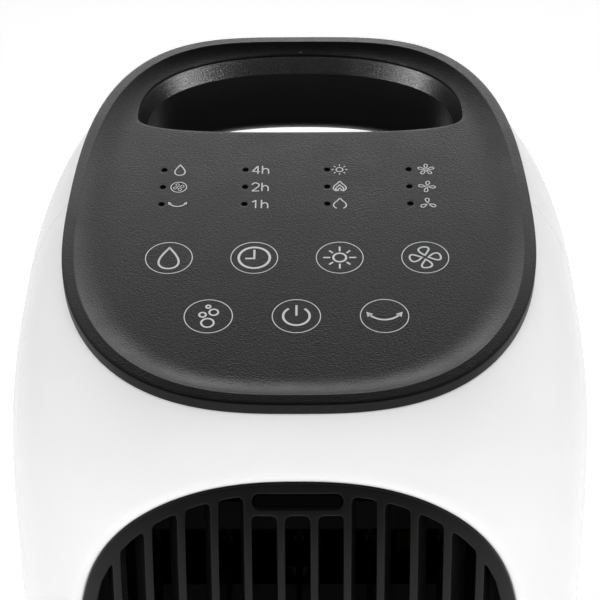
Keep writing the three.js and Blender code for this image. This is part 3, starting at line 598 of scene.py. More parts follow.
# Each moulded plastic's colour, roughness, mottle, grain size and depth in mm, and other settings.
MOULDED = {
    "shell_white": ((0.87, 0.869, 0.869), 0.24, 0.006, 9, 0.012, {"IOR": 1.49}),
    "print_white": ((0.6, 0.605, 0.61), 0.55, 0.05, 0.25, 0.005, {"slot": "shell_white"}),
    "cap_black": ((0.005, 0.005, 0.0052), 0.37, 0.03, 0.75, 0.17, {"Specular_IOR_Level": 0.36}),
    "liner_black": ((0.022, 0.022, 0.0224), 0.34, 0.03, 0.6, 0.16,
                    {"slot": "cap_black", "Specular_IOR_Level": 0.4}),
    "scoop_black": ((0.05, 0.05, 0.051), 0.45, 0.05, 0.9, 0.15,
                    {"slot": "cap_black", "Specular_IOR_Level": 0.4}),
    "grille_black": ((0.012, 0.012, 0.0122), 0.36, 0.06, 0.5, 0.03, {"Specular_IOR_Level": 0.32}),
    # Black plastic of the inner parts, darker and duller than the cap's. This is partly its own colour and
    # partly painted shade, so what shows behind the grille reads as black.
    "inner_black": ((0.003, 0.003, 0.0031), 0.6, 0.1, 0.8, 0.03, {"Specular_IOR_Level": 0.15}),
    "frame_grey": ((0.06, 0.06, 0.063), 0.5, 0.05, 0.9, 0.03, {}),
    "smoke_window": ((0.0015, 0.0015, 0.002), 0.06, 0.1, 12, 0.004, {"Specular_IOR_Level": 0.2}),
    "rubber_black": ((0.02, 0.02, 0.02), 0.8, 0.1, 0.5, 0.05, {}),
    "tank_plastic": ((0.42, 0.55, 0.62), 0.18, 0.03, 14, 0.01, {"Transmission_Weight": 0.75, "IOR": 1.5}),
    "gauge_clear": ((0.8, 0.88, 0.92), 0.05, 0.02, 20, 0.004, {"Transmission_Weight": 0.9, "IOR": 1.5}),
    # The clear light guides, coloured near black and given almost no reflection: painted shade for the dark,
    # unlit indicator dots.
    "light_guide_clear": ((0.003, 0.003, 0.0031), 0.5, 0.05, 3, 0.004, {"Specular_IOR_Level": 0.03}),
    "hose_silicone": ((0.66, 0.7, 0.71), 0.42, 0.04, 2, 0.02, {"Transmission_Weight": 0.35}),
}
# Each metal's colour, roughness, the marks' stretch, size and depth in mm, and other settings.
METALS = {
    "motor_steel": ((0.55, 0.56, 0.57), 0.32, (1, 1, 8), 3, 0.01, {}),
    # The thermal cutout's steel, darkened almost to black so it does not glint: painted shade for the dark
    # inside seen through the grille.
    "shaded_cutout_steel": ((0.03, 0.03, 0.031), 0.6, (1, 1, 8), 3, 0.01, {"slot": "motor_steel"}),
    "heater_aluminium": ((0.74, 0.75, 0.76), 0.38, (1, 6, 1), 4, 0.02, {}),
}
LOOKS = {
    **{name: moulded(name, *values, **more) for name, (*values, more) in MOULDED.items()},
    **{name: metal(name, *values, **more) for name, (*values, more) in METALS.items()},
    "circuit_green": circuit_green(),
    "pad_paper": pad_paper(),
    "filter_weave": filter_weave(),
}

# ---- camera, floor and light

camera = bpy.data.objects.new("camera", bpy.data.cameras.new("camera"))
camera.data.lens = 123
camera.data.clip_end = 50
camera.location = (0.0093, -0.7952, 1.0344)
CAMERA_TURNS = [(0.67, "Z"), (59.3, "X"), (-0.475, "Z")]  # its yaw, pitch and roll in degrees
yaw, pitch, roll = [Matrix.Rotation(math.radians(turn), 3, axis) for turn, axis in CAMERA_TURNS]
camera.rotation_euler = (yaw @ pitch @ roll).to_euler()
bpy.context.scene.collection.objects.link(camera)
bpy.context.scene.camera = camera


FLOOR_GLOW = 0.4
FLOOR_HALF = 12.0


def make_floor():
    mesh = bpy.data.meshes.new("floor")
    corners = [(x * FLOOR_HALF, y * FLOOR_HALF, 0) for x, y in ((-1, -1), (1, -1), (1, 1), (-1, 1))]
    mesh.from_pydata(corners, [], [(0, 1, 2, 3)])
    floor = bpy.data.objects.new("floor", mesh)
    bpy.context.scene.collection.objects.link(floor)
    look = Look("pale_floor", (0.98, 0.98, 0.98), 0.7, Emission_Strength=FLOOR_GLOW)
    look.shader.inputs["Emission Color"].default_value = (1, 1, 1, 1)
    look.tint(look.noise(400, 2), 0.995, 1.005)
    look.gloss(look.noise(150, 2), 0.05)
    mesh.materials.append(look.material)


FRONT_DIM = 0.15
SIDE_BRIGHT = 0.68
REAR_BRIGHT = 1.2
OVERHEAD_SHARE = 0.1
OVERHEAD_AXIS = (-0.2, 0.98)  # in y and z
SIDE_FADE = (0.25, 0.75)  # the directions, along an axis, between which each wall's light changes
REAR_FADE = (-0.35, 0.25)
OVERHEAD_FADE = (0.5, 0.84)
RIGHT_EXTRA = 0.06


def add_light(name, place, aim, size, watts, glossy=True, diffuse=True):
    """A rectangular lamp that shows in reflections, lights plain surfaces, or both."""
    light = bpy.data.lights.new(name, "AREA")
    light.shape = "RECTANGLE"
    light.size, light.size_y = size
    light.energy = watts
    lamp = bpy.data.objects.new(name, light)
    lamp.location = place
    lamp.rotation_euler = (Vector(aim) - Vector(place)).to_track_quat("-Z", "Y").to_euler()
    lamp.visible_glossy = glossy
    lamp.visible_diffuse = diffuse
    bpy.context.scene.collection.objects.link(lamp)
    return lamp


def make_light():
    """A studio that is bright behind and at both sides, and dim behind the camera and overhead."""
    scene = bpy.context.scene
    scene.view_settings.view_transform = "Standard"
    scene.view_settings.gamma = 0.8
    scene.world = bpy.data.worlds.new("studio")
    scene.world.use_nodes = True
    tree = scene.world.node_tree
    coordinates = tree.nodes.new("ShaderNodeTexCoord")
    axes = tree.nodes.new("ShaderNodeSeparateXYZ")
    tree.links.new(coordinates.outputs["Generated"], axes.inputs["Vector"])

    def math_node(operation, first, second):
        node = tree.nodes.new("ShaderNodeMath")
        node.operation = operation
        for socket, value in zip(node.inputs, (first, second)):
            if isinstance(value, (int, float)):
                socket.default_value = value
            else:
                tree.links.new(value, socket)
        return node.outputs["Value"]

    def eased(value, *ranges):
        return map_range(tree, value, *ranges, interpolation="SMOOTHSTEP")

    sideways = math_node("ABSOLUTE", axes.outputs["X"], 0)
    in_front = eased(sideways, FRONT_DIM, SIDE_BRIGHT, *SIDE_FADE)
    around = eased(axes.outputs["Y"], 0, 1, *REAR_FADE)
    behind = math_node("MULTIPLY", around, REAR_BRIGHT)
    front_share = math_node("SUBTRACT", 1, around)
    walls = math_node("ADD", behind, math_node("MULTIPLY", in_front, front_share))
    back_part, up_part = OVERHEAD_AXIS
    upwards = math_node("ADD", math_node("MULTIPLY", axes.outputs["Z"], up_part),
                        math_node("MULTIPLY", axes.outputs["Y"], back_part))
    overhead = eased(upwards, 1, OVERHEAD_SHARE, *OVERHEAD_FADE)
    right = eased(axes.outputs["X"], 1 - RIGHT_EXTRA, 1 + RIGHT_EXTRA, -1, 1)
    strength = math_node("MULTIPLY", math_node("MULTIPLY", walls, overhead), right)
    tree.links.new(strength, tree.nodes["Background"].inputs["Strength"])
    tree.nodes["Background"].inputs["Color"].default_value = (1, 1, 1, 1)
    add_light("rear_softbox", (0.0, 0.95, 1.3), (0, 0, 0.6), (1.5, 0.4), 9.2, diffuse=False)
    add_light("front_softbox", (0.0, -1.7, 2.0), (0, -0.1, 0.55), (2.4, 1.2), 35, glossy=False)


def make_hole_light(liner):
    """Two small lamps in front that graze the handle hole's chamfer and nothing else."""
    lit = bpy.data.collections.new("hole_light_receivers")
    lit.objects.link(liner)
    for side in (-1, 1):
        place = (side * 0.95, -0.72, 0.72)
        lamp = add_light("hole_lamp", place, (0, 0.1, 0.62), (0.34, 0.2), 21, diffuse=False)
        lamp.light_linking.receiver_collection = lit


make_floor()
make_light()

# ---- shells


SEAM_STARTS = (196, 222)  # first guesses round the wall, for a seam before and past the side's middle
SEAM_DROPS = [(0, 60, 4), (60, 180, 8), (180, 640, 16)]
LEAST_SLOPE = 0.2
LIP_WIDTH = 5
LIP_DROP = 1.4
LIP_FILL = (1.6, 2.5, 3.5, 4.6, 6)
SHELL_EDGE = 0.35
STRAIGHT_BACK = (105, 125)  # inside the first x a shell's edges go straight back, past the last square


def seam_line(side, y):
    """Where the body's surface crosses the seam plane, from the cap's edge down to the foot."""
    drops = np.concatenate([np.arange(*span) for span in SEAM_DROPS])
    start = SEAM_STARTS[0] if side * y < 0 else SEAM_STARTS[1]
    points = np.stack([np.full(len(drops), float(start)), drops], 1)
    step = 0.01
    for _ in range(30):
        miss = y - body_base(points, side)[:, 1]
        slope = body_change(points, side, [step, 0])[:, 1] / (2 * step)
        slope = np.where(np.abs(slope) < LEAST_SLOPE, -LEAST_SLOPE * side, slope)
        points[:, 0] += np.clip(miss / slope, -10, 10)
    points = points[body_base(points, side)[:, 2] > BODY_FOOT + 4]
    last = points[-1:].copy()
    last[:, 1] += body_base(last, side)[:, 2] - BODY_FOOT
    return np.concatenate([points, last])


def edge_line(start, end, spacing=3):
    """The body's upper edge between two places round the wall."""
    count = max(2, int(abs(end - start) / spacing))
    return np.stack([np.linspace(start, end, count), np.zeros(count)], 1)[1:-1]


def foot_line(start, end, side):
    """The body's lower edge between two places round the wall."""
    points = edge_line(start, end, 4)
    points[:, 1] = body_base(points, side)[:, 2] - BODY_FOOT
    return points


def mirrored(points):
    return points[::-1] * [-1, 1]


def add_shell(node, side, seam_y, notch, holes, hole_edges, lip=None):
    """A half of the body, with a notch in its foot, holes, and a lip rolled in round one of them."""
    right = seam_line(side, seam_y)
    left = mirrored(right)
    foot = [right[-1:], *([] if notch is None else [notch]), left[:1]]
    outline = [edge_line(left[-1, 0], right[0, 0]), right[:-1]]
    for before, after in zip(foot, foot[1:]):
        outline += [before, foot_line(before[-1, 0], after[0, 0], side)]
    plain = body_surface(side)
    fill = [body_fill(side)]

    def surface(points, depth):
        if lip is None:
            return plain(points, depth)
        share = np.clip(1 - distance_to(points, lip) / LIP_WIDTH, 0, 1)
        return plain(points, (depth + LIP_DROP * share * share)[:, None])

    def back(points):
        """The inner face. Its edges go straight back in the middle, where the tank and door pass."""
        front = plain(points, 0)
        placed = plain(points, BODY_WALL)
        straight, square = STRAIGHT_BACK
        share = np.clip((square - np.abs(front[:, 0])) / (square - straight), 0, 1)
        placed[:, 0] += (front[:, 0] - placed[:, 0]) * share
        return placed

    if lip is not None:
        away = turned(lip, False)
        fill += [shifted(away, distance) for distance in LIP_FILL]
    loops = [np.concatenate([*outline, left]), *holes]
    made = plate(loops, surface, [SHELL_EDGE, *hole_edges], np.concatenate(fill), back)
    add_piece(node + "_skin", made, "shell_white", [node])


def make_front_shell():
    hole = located(racetrack(GAP), FRONT)
    add_shell("front_shell", FRONT, SEAM_Y - SEAM_GAP / 2, None, [hole], [0.7], lip=hole)


REAR_SCREWS = [(x, z) for z in (175, 485) for x in (-70, 70)]
SCREW_HOLE = 4.2
OUTLET = (50, 175)
OUTLET_RADIUS = 10
DOOR_HALF_WIDTH = 89
DOOR_Z = (206, 464)
DOOR_GAP = (1.2, 2)  # beside the door, and above and below it
BAY_HALF_WIDTH = 92.5
BAY_TOP = 146
BAY_RADIUS = 6
GRIP_HALF_WIDTH = 66
GRIP_Z = (CAP_HEIGHT - 72, CAP_HEIGHT - 24)
GRIP_RADIUS = 20


def bay_notch():
    """The tank bay's outline from its right foot, up and over to its left foot."""
    x = BAY_HALF_WIDTH - BAY_RADIUS
    z = BAY_TOP - BAY_RADIUS
    side = [(BAY_HALF_WIDTH, height) for height in np.arange(BODY_FOOT, z, 6)]
    bend = [(x + BAY_RADIUS * math.cos(angle), z + BAY_RADIUS * math.sin(angle))
            for angle in np.linspace(0, math.pi / 2, 8)]
    half = np.array([*side, *bend, *[(along, BAY_TOP) for along in np.arange(x - 4, 0, -4)]])
    return np.concatenate([half, mirrored(half)])


def make_rear_shell():
    aside, above = DOOR_GAP
    door_x = DOOR_HALF_WIDTH + aside
    outlines = [
        rounded_box(-GRIP_HALF_WIDTH, GRIP_HALF_WIDTH, *GRIP_Z, GRIP_RADIUS, 2),
        rounded_box(-door_x, door_x, DOOR_Z[0] - above, DOOR_Z[1] + above, 12, 3),
        *[circle(x, z, SCREW_HOLE, 24) for x, z in REAR_SCREWS],
        circle(*OUTLET, OUTLET_RADIUS, 40),
    ]
    holes = [located(outline, REAR) for outline in outlines]
    edges = [1.8, 0.6] + [0.5] * (len(holes) - 2)
    add_shell("rear_shell", REAR, SEAM_Y + SEAM_GAP / 2, located(bay_notch(), REAR), holes, edges)


# ---- cap and handle


def cap_inset(points):
    """How far a panel point lies inside the cap's outline."""
    low = np.full(len(points), -5.0)
    high = np.full(len(points), CAP_HALF_WIDTH - 1.0)
    power = np.where(points[:, 1] < 0, CAP_FRONT_POWER, CAP_REAR_POWER)
    for _ in range(40):
        middle = (low + high) / 2
        share = points[:, 1] / (CAP_HALF_DEPTH - middle)
        width = (CAP_HALF_WIDTH - middle) * (1 - CAP_TAPER * share - CAP_PINCH * share * share)
        outside = np.abs(points[:, 0] / width) ** power + np.abs(share) ** power > 1
        high = np.where(outside, middle, high)
        low = np.where(outside, low, middle)
    return low


def cap_level(inset):
    """A flat rim, then a concave cove down to the sunken panel."""
    along = np.clip((inset - CAP_RIM_WIDTH) / (CAP_COVE_END - CAP_RIM_WIDTH), 0, 1)
    outwards = np.clip(CAP_RIM_WIDTH - inset, 0, CAP_RIM_WIDTH)
    return CAP_RIM * (1 - along) ** CAP_COVE_POWER - CAP_RIM_SLOPE * outwards


def cap_ring(inset):
    angle = full_turn(300)
    return np.stack(cap_outline(np.cos(angle), np.sin(angle), inset), 1)


def handle_ring(inset, count=160):
    """The handle hole: a shallow half superellipse in front and a deep one behind."""
    front = np.sin(full_turn(count)) < 0
    depth = np.where(front, HANDLE_FRONT, HANDLE_REAR) - inset
    power = np.where(front, HANDLE_FRONT_POWER, HANDLE_REAR_POWER)
    return superellipse(HANDLE_HALF_WIDTH - inset, depth, power, count) + [0, HANDLE_MIDDLE]


LIGHT_COLUMNS = [-60.65, -24.15, 12.35, 48.85]
LIGHT_ROWS = [25.5, 13.5, 1.7]
LIGHT_RADIUS = 1.4
LIGHT_SIDES = 16
RIM_FILL = [1.2, 1.9, 2.9, 4, 4.7, 4.95, 5.2, 5.6, 6.2, 7, 8, 9.2, 10.6, 12.2, 14, 16, 18]  # insets
PANEL_FILL_INSET = 20
PANEL_FILL_STEP = 4.5
HANDLE_FILL = (1.6, 2.6, 4)  # distances out from the handle hole
LIGHT_FILL = (0.95, 1.9)
CAP_EDGES = (0.7, 0.35, 0.08)


def make_cap():
    def surface(points, depth):
        return on_panel(*points.T, cap_level(cap_inset(points)) - depth)

    def back(points):
        return on_panel(*points.T, CAP_UNDERSIDE)

    places = [(u, w) for u in LIGHT_COLUMNS for w in LIGHT_ROWS]
    lights = [circle(u, w, LIGHT_RADIUS, LIGHT_SIDES) for u, w in places]
    grid = np.array([(u, w) for u in np.arange(-100, 101, PANEL_FILL_STEP)
                     for w in np.arange(-120, 121, PANEL_FILL_STEP)])
    fill = [cap_ring(inset) for inset in RIM_FILL]
    fill.append(grid[cap_inset(grid) > PANEL_FILL_INSET])
    fill += [handle_ring(-out) for out in HANDLE_FILL]
    fill += [circle(u, w, LIGHT_RADIUS + out, LIGHT_SIDES) for u, w in places for out in LIGHT_FILL]
    rim_edge, handle_edge, light_edge = CAP_EDGES
    edges = [rim_edge, handle_edge, *[light_edge] * len(lights)]
    made = plate([cap_ring(0), handle_ring(0), *lights], surface, edges, np.concatenate(fill), back)
    add_piece("cap_moulding", made, "cap_black", ["top_cap"], sharp=30)


LINER_SIDES = 200
LINER_STEP = CAP_UNDERSIDE - GAP
LINER_CHAMFER = [(0.15, -0.5), (3.4, -7.8)]  # inset and level where it starts and ends
LINER_INSET = 3.5
LINER_WALL_TOP = -8.3
LINER_BOTTOM = -45
LINER_FRONT_BOTTOM = -12
LINER_STEP_DOWN = (62, 42, -48)  # where the lower edge starts to fall, over what length, and how far
LINER_LIP = (5.9, 11)
LINER_WALL_ROWS = (31, 25, 19, 14)
LINER_BACK = [(-2.6, 0.2), (-2.6, 10), (-1.8, 20)]  # inset and height over the lower edge


def make_handle_liner():
    """The black wall of the handle hole. Its front is short, so that the scoop shows below it."""
    def ring_at(inset, level):
        return on_panel(*handle_ring(inset, LINER_SIDES).T, level)

    def ring_above(inset, height):
        """A ring at a height over the liner's lower edge, which steps up round its front."""
        u, w = handle_ring(inset, LINER_SIDES).T
        start, length, fall = LINER_STEP_DOWN
        step = fall * np.clip((w - start) / length, 0, 1)
        lowest = np.maximum(LINER_BOTTOM, LINER_FRONT_BOTTOM + step)
        share = height / (LINER_WALL_TOP - LINER_BOTTOM)
        return on_panel(u, w, lowest + (LINER_WALL_TOP - lowest) * share)

    chamfer_start, chamfer_end = np.array(LINER_CHAMFER)
    rings = [ring_at(0.08, -0.4)]
    for share in np.linspace(0, 1, 6):
        rings.append(ring_at(*(chamfer_start + (chamfer_end - chamfer_start) * share)))
    rings += [ring_at(LINER_INSET, level) for level in (-8, LINER_WALL_TOP)]
    rings += [ring_above(LINER_INSET, height) for height in LINER_WALL_ROWS]
    lip_width, lip_height = LINER_LIP
    for share in np.linspace(0, 1, 12):
        rings.append(ring_above(LINER_INSET - lip_width * share * share, lip_height * (1 - share)))
    rings += [ring_above(inset, height) for inset, height in LINER_BACK]
    rings += [ring_at(-1.8, LINER_STEP), ring_at(0.04, LINER_STEP), ring_at(0.04, -0.5)]
    made = loft(rings, closed=True)
    make_hole_light(add_piece("handle_hole_liner", made, "liner_black", ["handle_liner"]))


SCOOP_CURVE = [(49, CAP_HEIGHT + 30), (49, CAP_HEIGHT - 60), (86, GRIP_Z[0] + 1), (160, GRIP_Z[0] - 1)]
SCOOP_START = 0.12
SCOOP_HALF_WIDTH = 78.2
SCOOP_CORNER = 16
SCOOP_WALL = 2.2
SCOOP_FOCUS = np.array([112, 592])  # in y and z; the trough's sides rise towards it
SCOOP_SIDE_RISE = 0.75  # of the way to the focus
SCOOP_REAR_GAP = 0.8


def bezier(t, points):
    t = np.asarray(t, float)[..., None]
    a, b, c, d = np.array(points, float)
    return (1 - t) ** 3 * a + 3 * (1 - t) ** 2 * t * b + 3 * (1 - t) * t * t * c + t ** 3 * d


def make_scoop():
    """A smooth trough from the front of the handle hole down and back to the grip opening."""
    table = np.linspace(0, 1, 400)
    xs = np.linspace(-SCOOP_HALF_WIDTH, SCOOP_HALF_WIDTH, 61)
    targets = np.stack([xs, np.full(len(xs), GRIP_Z[0] - 0.5)], 1)
    ends = body_base(located(targets, REAR), REAR)[:, 1] - BODY_WALL - SCOOP_REAR_GAP
    last = np.interp(ends, bezier(table, SCOOP_CURVE)[:, 0], table)
    from_side = SCOOP_HALF_WIDTH - np.abs(xs)
    round_corner = np.sqrt(np.maximum(0, 2 * SCOOP_CORNER * from_side - from_side ** 2))
    rise = np.where(from_side < SCOOP_CORNER, SCOOP_CORNER - round_corner, 0)

    def row(share, extra):
        """A line across the trough, with both of its sides, at a share of its length."""
        points = bezier(SCOOP_START + (last - SCOOP_START) * share, SCOOP_CURVE)
        to_focus = SCOOP_FOCUS - points
        to_focus /= np.linalg.norm(to_focus, axis=1, keepdims=True)
        sides = points[[0, -1]] * (1 - SCOOP_SIDE_RISE) + SCOOP_FOCUS * SCOOP_SIDE_RISE
        placed = np.concatenate([sides[:1], points + to_focus * (rise - extra)[:, None], sides[1:]])
        across = np.concatenate([xs[:1], xs, xs[-1:]]) * (1 + extra / SCOOP_HALF_WIDTH)
        return np.column_stack([across, placed])

    rings = [np.concatenate([row(share, 0), row(share, SCOOP_WALL)[::-1]])
             for share in np.linspace(0, 1, 40)]
    add_piece("scoop_moulding", loft(rings), "scoop_black", ["handle_scoop"], sharp=50)


# ---- printed symbols

PRINT_LEVELS = (-0.04, 0.05)
LINE_SHARE = 0.86
PRINT_SHIFT = (-0.75, -0.9)
TOUCH_RADIUS = 10
TOUCH_ROWS = [(-33, [-54.75, -18.25, 18.25, 54.75]), (-69.5, [-36.5, 0, 36.5])]


def polar(radius, degrees):
    angle = np.radians(degrees)
    return np.stack([radius * np.cos(angle), radius * np.sin(angle)], -1)


def arc(middle, radius, start, end, steps=24):
    return np.asarray(middle) + polar(radius, np.linspace(start, end, steps + 1))


def turned_by(points, degrees):
    angle = math.radians(degrees)
    spin = np.array([[math.cos(angle), math.sin(angle)], [-math.sin(angle), math.cos(angle)]])
    return np.asarray(points, float) @ spin


def curve_through(points):
    """A smooth open line through a few points."""
    points = np.asarray(points, float)
    padded = np.concatenate([[2 * points[0] - points[1]], points, [2 * points[-1] - points[-2]]])
    made = []
    for a, b, c, d in zip(padded, padded[1:], padded[2:], padded[3:]):
        for t in np.linspace(0, 1, 6, endpoint=False):
            made.append(0.5 * (2 * b + (c - a) * t + (2 * a - 5 * b + 4 * c - d) * t * t
                               + (3 * b - a - 3 * c + d) * t ** 3))
    return np.array([*made, points[-1]])


def teardrop(tip, end, width):
    """A closed loop along +x, pointed at its tip and round at its end."""
    t = full_turn(32)
    bulge = np.sin(t) * np.abs(np.sin(t / 2)) ** 1.3
    return np.stack([tip + (end - tip) * (1 - np.cos(t)) / 2, bulge / bulge.max() * width / 2], 1)


def at_level(points, level):
    return np.column_stack([points, np.full(len(points), level)])


def ribbon(points, width, closed=False):
    """A printed line of even width, as a low closed strip on the panel."""
    points = np.asarray(points, float)
    if closed:
        along = np.roll(points, -1, 0) - np.roll(points, 1, 0)
    else:
        along = np.gradient(points, axis=0)
    along /= np.linalg.norm(along, axis=1, keepdims=True)
    aside = np.stack([-along[:, 1], along[:, 0]], 1) * width * LINE_SHARE / 2
    low, high = PRINT_LEVELS
    corners = [(1, low), (1, high), (-1, high), (-1, low)]
    rows = np.stack([at_level(points + sign * aside, level) for sign, level in corners], 1)
    return loft(list(rows), closed=closed)


def hoop(radius, line, steps=28, u=0, w=0):
    return ribbon(circle(u, w, radius, steps), line, True)


def patch(points):
    """A printed filled outline."""
    return loft([at_level(points, level) for level in PRINT_LEVELS])


def drop_symbol(top, bottom, width, line):
    return [ribbon(teardrop(top, bottom, width)[:, ::-1], line, True)]


def clock_symbol():
    hands = [[(0, -1.05), (0, 5.1)], [(0.5, -0.5), (-3.9, -0.5)]]
    return [hoop(6.65, 1.3, 48), *[ribbon(hand, 1.1) for hand in hands]]


def sun_symbol(radius, line, ray_line, ray_spans):
    rays = [ribbon(polar(np.array(ray_spans[i % 2]), i * 45), ray_line) for i in range(8)]
    return [hoop(radius, line), *rays]


def petals(angles, tip, end, width, line, lean=0):
    loop = teardrop(tip, end, width)
    loop[:, 1] += lean * (loop[:, 0] - tip) * (end - loop[:, 0]) / (end - tip)
    return [ribbon(turned_by(loop, angle), line, True) for angle in angles]


def bubbles_symbol():
    bubbles = [(-0.2, 5.8, 0.9), (2.2, 2.4, 1.85), (-2.4, 0.9, 1.4), (-0.2, -4.0, 2.6)]
    return [hoop(radius, 1.0, u=u, w=w) for u, w, radius in bubbles]


def power_symbol():
    return [ribbon(arc((0, 0), 5.5, 125, 413, 48), 1.2), ribbon([(0, 0.2), (0, 6.6)], 1.1)]


def swing_symbol(half, dip, line, head):
    """A shallow arc, low in the middle, with an arrowhead at each end."""
    radius = (half * half + dip * dip) / (2 * dip)
    sweep = math.degrees(math.asin(half / radius))
    bow = arc((0, radius - 0.7 * dip), radius, 270 - sweep, 270 + sweep)
    made = [ribbon(bow, line)]
    for end, before in ((bow[0], bow[1]), (bow[-1], bow[-2])):
        forward = (end - before) / np.linalg.norm(end - before) * head
        foot = end - forward * 0.5
        aside = np.array([-forward[1], forward[0]]) * 0.8
        made.append(patch([end + forward, foot + aside, foot - aside]))
    return made


FLAME = [(-1.5, -3.1), (-2.75, -1.5), (-2.5, 0.4), (-1.1, 2.2), (0, 3.7)]
DIGIT_SIZE = (3.3, 5.6)
DIGIT_GAP = 0.9
# The strokes of each letter, in a square of side 1.
GLYPHS = {
    "4": [[(0.74, 0), (0.74, 1)], [(0.74, 1), (0, 0.3)], [(-0.06, 0.3), (1, 0.3)]],
    "2": [
        curve_through([(0.02, 0.76), (0.2, 0.95), (0.52, 1), (0.88, 0.88), (0.94, 0.64), (0.6, 0.36),
                       (0.04, 0.02)]),
        [(0, 0), (1, 0)],
    ],
    "1": [[(0.1, 0.74), (0.58, 0.97)], [(0.58, 1), (0.58, 0)]],
    "h": [
        [(0.08, 1), (0.08, 0)],
        curve_through([(0.08, 0.4), (0.28, 0.62), (0.62, 0.66), (0.88, 0.5), (0.92, 0.25), (0.92, 0)]),
    ],
}


def flame_symbol(*flames):
    """Flames inside one another, each of a scale and a lift."""
    line = curve_through(FLAME + [(-u, w) for u, w in FLAME[-2::-1]])
    return [ribbon(line * scale + [0, lift], 0.7) for scale, lift in flames]


def hours_symbol(digit):
    width, height = DIGIT_SIZE
    made = []
    for letter, left in ((digit, 0), ("h", width + DIGIT_GAP)):
        for stroke in GLYPHS[letter]:
            made.append(ribbon(np.asarray(stroke) * DIGIT_SIZE + [left, -height / 2], 0.75))
    return made


def add_print(name, symbols):
    """One piece from several symbols, each a place on the panel and a list of strokes."""
    strokes = []
    for u, w, symbol in symbols:
        strokes += [(points + [u + PRINT_SHIFT[0], w, 0], faces) for points, faces in symbol]
    points, faces = joined(*strokes)
    add_piece(name, (on_panel(*points.T), faces), "print_white")


def make_touch_symbols():
    symbols = [
        drop_symbol(6.7, -6.85, 8.6, 1.1),
        clock_symbol(),
        sun_symbol(2.75, 1.1, 1.0, [(4.0, 7.05), (4.1, 6.4)]),
        petals([0, 90, 180, 270], 1.2, 6.7, 4.4, 1.0, 0.5),
        bubbles_symbol(),
        power_symbol(),
        swing_symbol(6.4, 3.3, 1.1, 1.9),
    ]
    places = [(u, w + PRINT_SHIFT[1]) for w, row in TOUCH_ROWS for u in row]
    outline = hoop(TOUCH_RADIUS, 0.5, 96)
    add_print("touch_symbols", [(*place, [outline, *symbol]) for place, symbol in zip(places, symbols)])


def make_indicator_symbols():
    fans = [([90, 162, 234, 306, 18], 1.5), ([80, 170, 260, 352], 1.6), ([95, 215, 330], 1.7)]
    dial = [hoop(3.5, 0.55, 40), *petals([20, 110, 200, 290], 0.5, 2.4, 1.5, 0.4)]
    columns = [
        (7.8, [drop_symbol(3.7, -3.7, 4.6, 0.7), dial, swing_symbol(3.6, 2.1, 0.7, 1.1)]),
        (3.8, [hours_symbol(digit) for digit in "421"]),
        (6.3, [sun_symbol(1.5, 0.6, 0.6, [(2.5, 3.65), (2.5, 3.65)]),
               flame_symbol((1, 0), (0.62, -0.95), (0.28, -1.9)), flame_symbol((1, 0))]),
        (8.5, [petals(angles, 0.5, 3.7, width, 0.6) for angles, width in fans]),
    ]
    add_print("indicator_symbols", [
        (u + aside, w, symbol)
        for u, (aside, symbols) in zip(LIGHT_COLUMNS, columns)
        for w, symbol in zip(LIGHT_ROWS, symbols)
    ])


# ---- grille


BAR_SPLAY = 0.0075  # for each millimetre of depth and of distance from the middle
BAR_SPLAY_END = (66, 88)  # it fades between these distances from the middle
BAR_FACE_DEPTH = 1.2
SLIT_RADIUS = 2.4
SLIT_OUTER_RADIUS = 1.1
GRILLE_FILL = (-1.6, -3.2, -4.4)
GRILLE_EDGES = (1.1, 0.55, 0.6)


def grille_splay(placed):
    """The bars lean outwards with depth, more the further they stand from the middle."""
    x = placed[:, 0]
    start, end = BAR_SPLAY_END
    return BAR_SPLAY * x * np.clip((end - np.abs(x)) / (end - start), 0, 1)


def slit_loop(column):
    """One slit's outline in x and z. Its ends follow the frame, and the three middle ones stop short."""
    spread = 1 + GRILLE_SPREAD * column * column
    middle = column * GRILLE_PITCH * spread
    half_slit = GRILLE_SLIT * spread / 2
    xs = np.linspace(middle - half_slit, middle + half_slit, 3)
    share = np.clip(np.abs(xs) / (GRILLE_HALF_WIDTH - GRILLE_FRAME), 0, 1)
    rise = (GRILLE_END - GRILLE_FRAME_TOP) * (1 - share ** GRILLE_POWER) ** (1 / GRILLE_POWER)
    upper = GRILLE_TOP - GRILLE_END + rise
    if abs(column) <= 1:
        upper = np.minimum(upper, SHORT_SLIT_TOP)
    lower = GRILLE_BOTTOM + GRILLE_END - rise
    loop = np.concatenate([np.stack([xs, lower], 1), np.stack([xs, upper], 1)[::-1]])

    def radius_of(corner):
        inner = column == 0 or abs(corner[0]) <= abs(middle)
        return SLIT_RADIUS if inner else SLIT_OUTER_RADIUS

    return filleted(loop, radius_of, 1.7)


def slot_outline(gap, radius, spacing):
    """The receiver's slot, or with a gap the lens in it."""
    half = SLOT_HALF_WIDTH - gap
    return rounded_box(-half, half, SLOT_BOTTOM + gap, SLOT_TOP - gap, radius, spacing)


def make_grille():
    columns = range(-GRILLE_COLUMNS, GRILLE_COLUMNS + 1)
    outlines = [racetrack(0), *[slit_loop(column) for column in columns], slot_outline(0, 2.85, 0.7)]
    surface = body_surface(FRONT, GAP, grille_splay)

    def back(points):
        placed = surface(points, BAR_FACE_DEPTH)
        further = GRILLE_DEPTH - BAR_FACE_DEPTH
        placed[:, 0] += further * grille_splay(placed)
        placed[:, 1] += further
        return placed

    fill = [body_fill(FRONT), *[located(racetrack(grow), FRONT) for grow in GRILLE_FILL]]
    loops = [located(outline, FRONT) for outline in outlines]
    outer_edge, slit_edge, slot_edge = GRILLE_EDGES
    edges = [outer_edge, *[slit_edge] * len(columns), slot_edge]
    made = plate(loops, surface, edges, np.concatenate(fill), back)
    add_piece("grille_moulding", made, "grille_black", ["front_grille"], sharp=30)


def make_receiver_window():
    made = body_sheet(FRONT, [slot_outline(GAP, 2.4, 0.8)], GAP + 2, 3, 0.3)
    add_piece("receiver_lens", made, "smoke_window", ["receiver_window"])


# ---- rear and underside

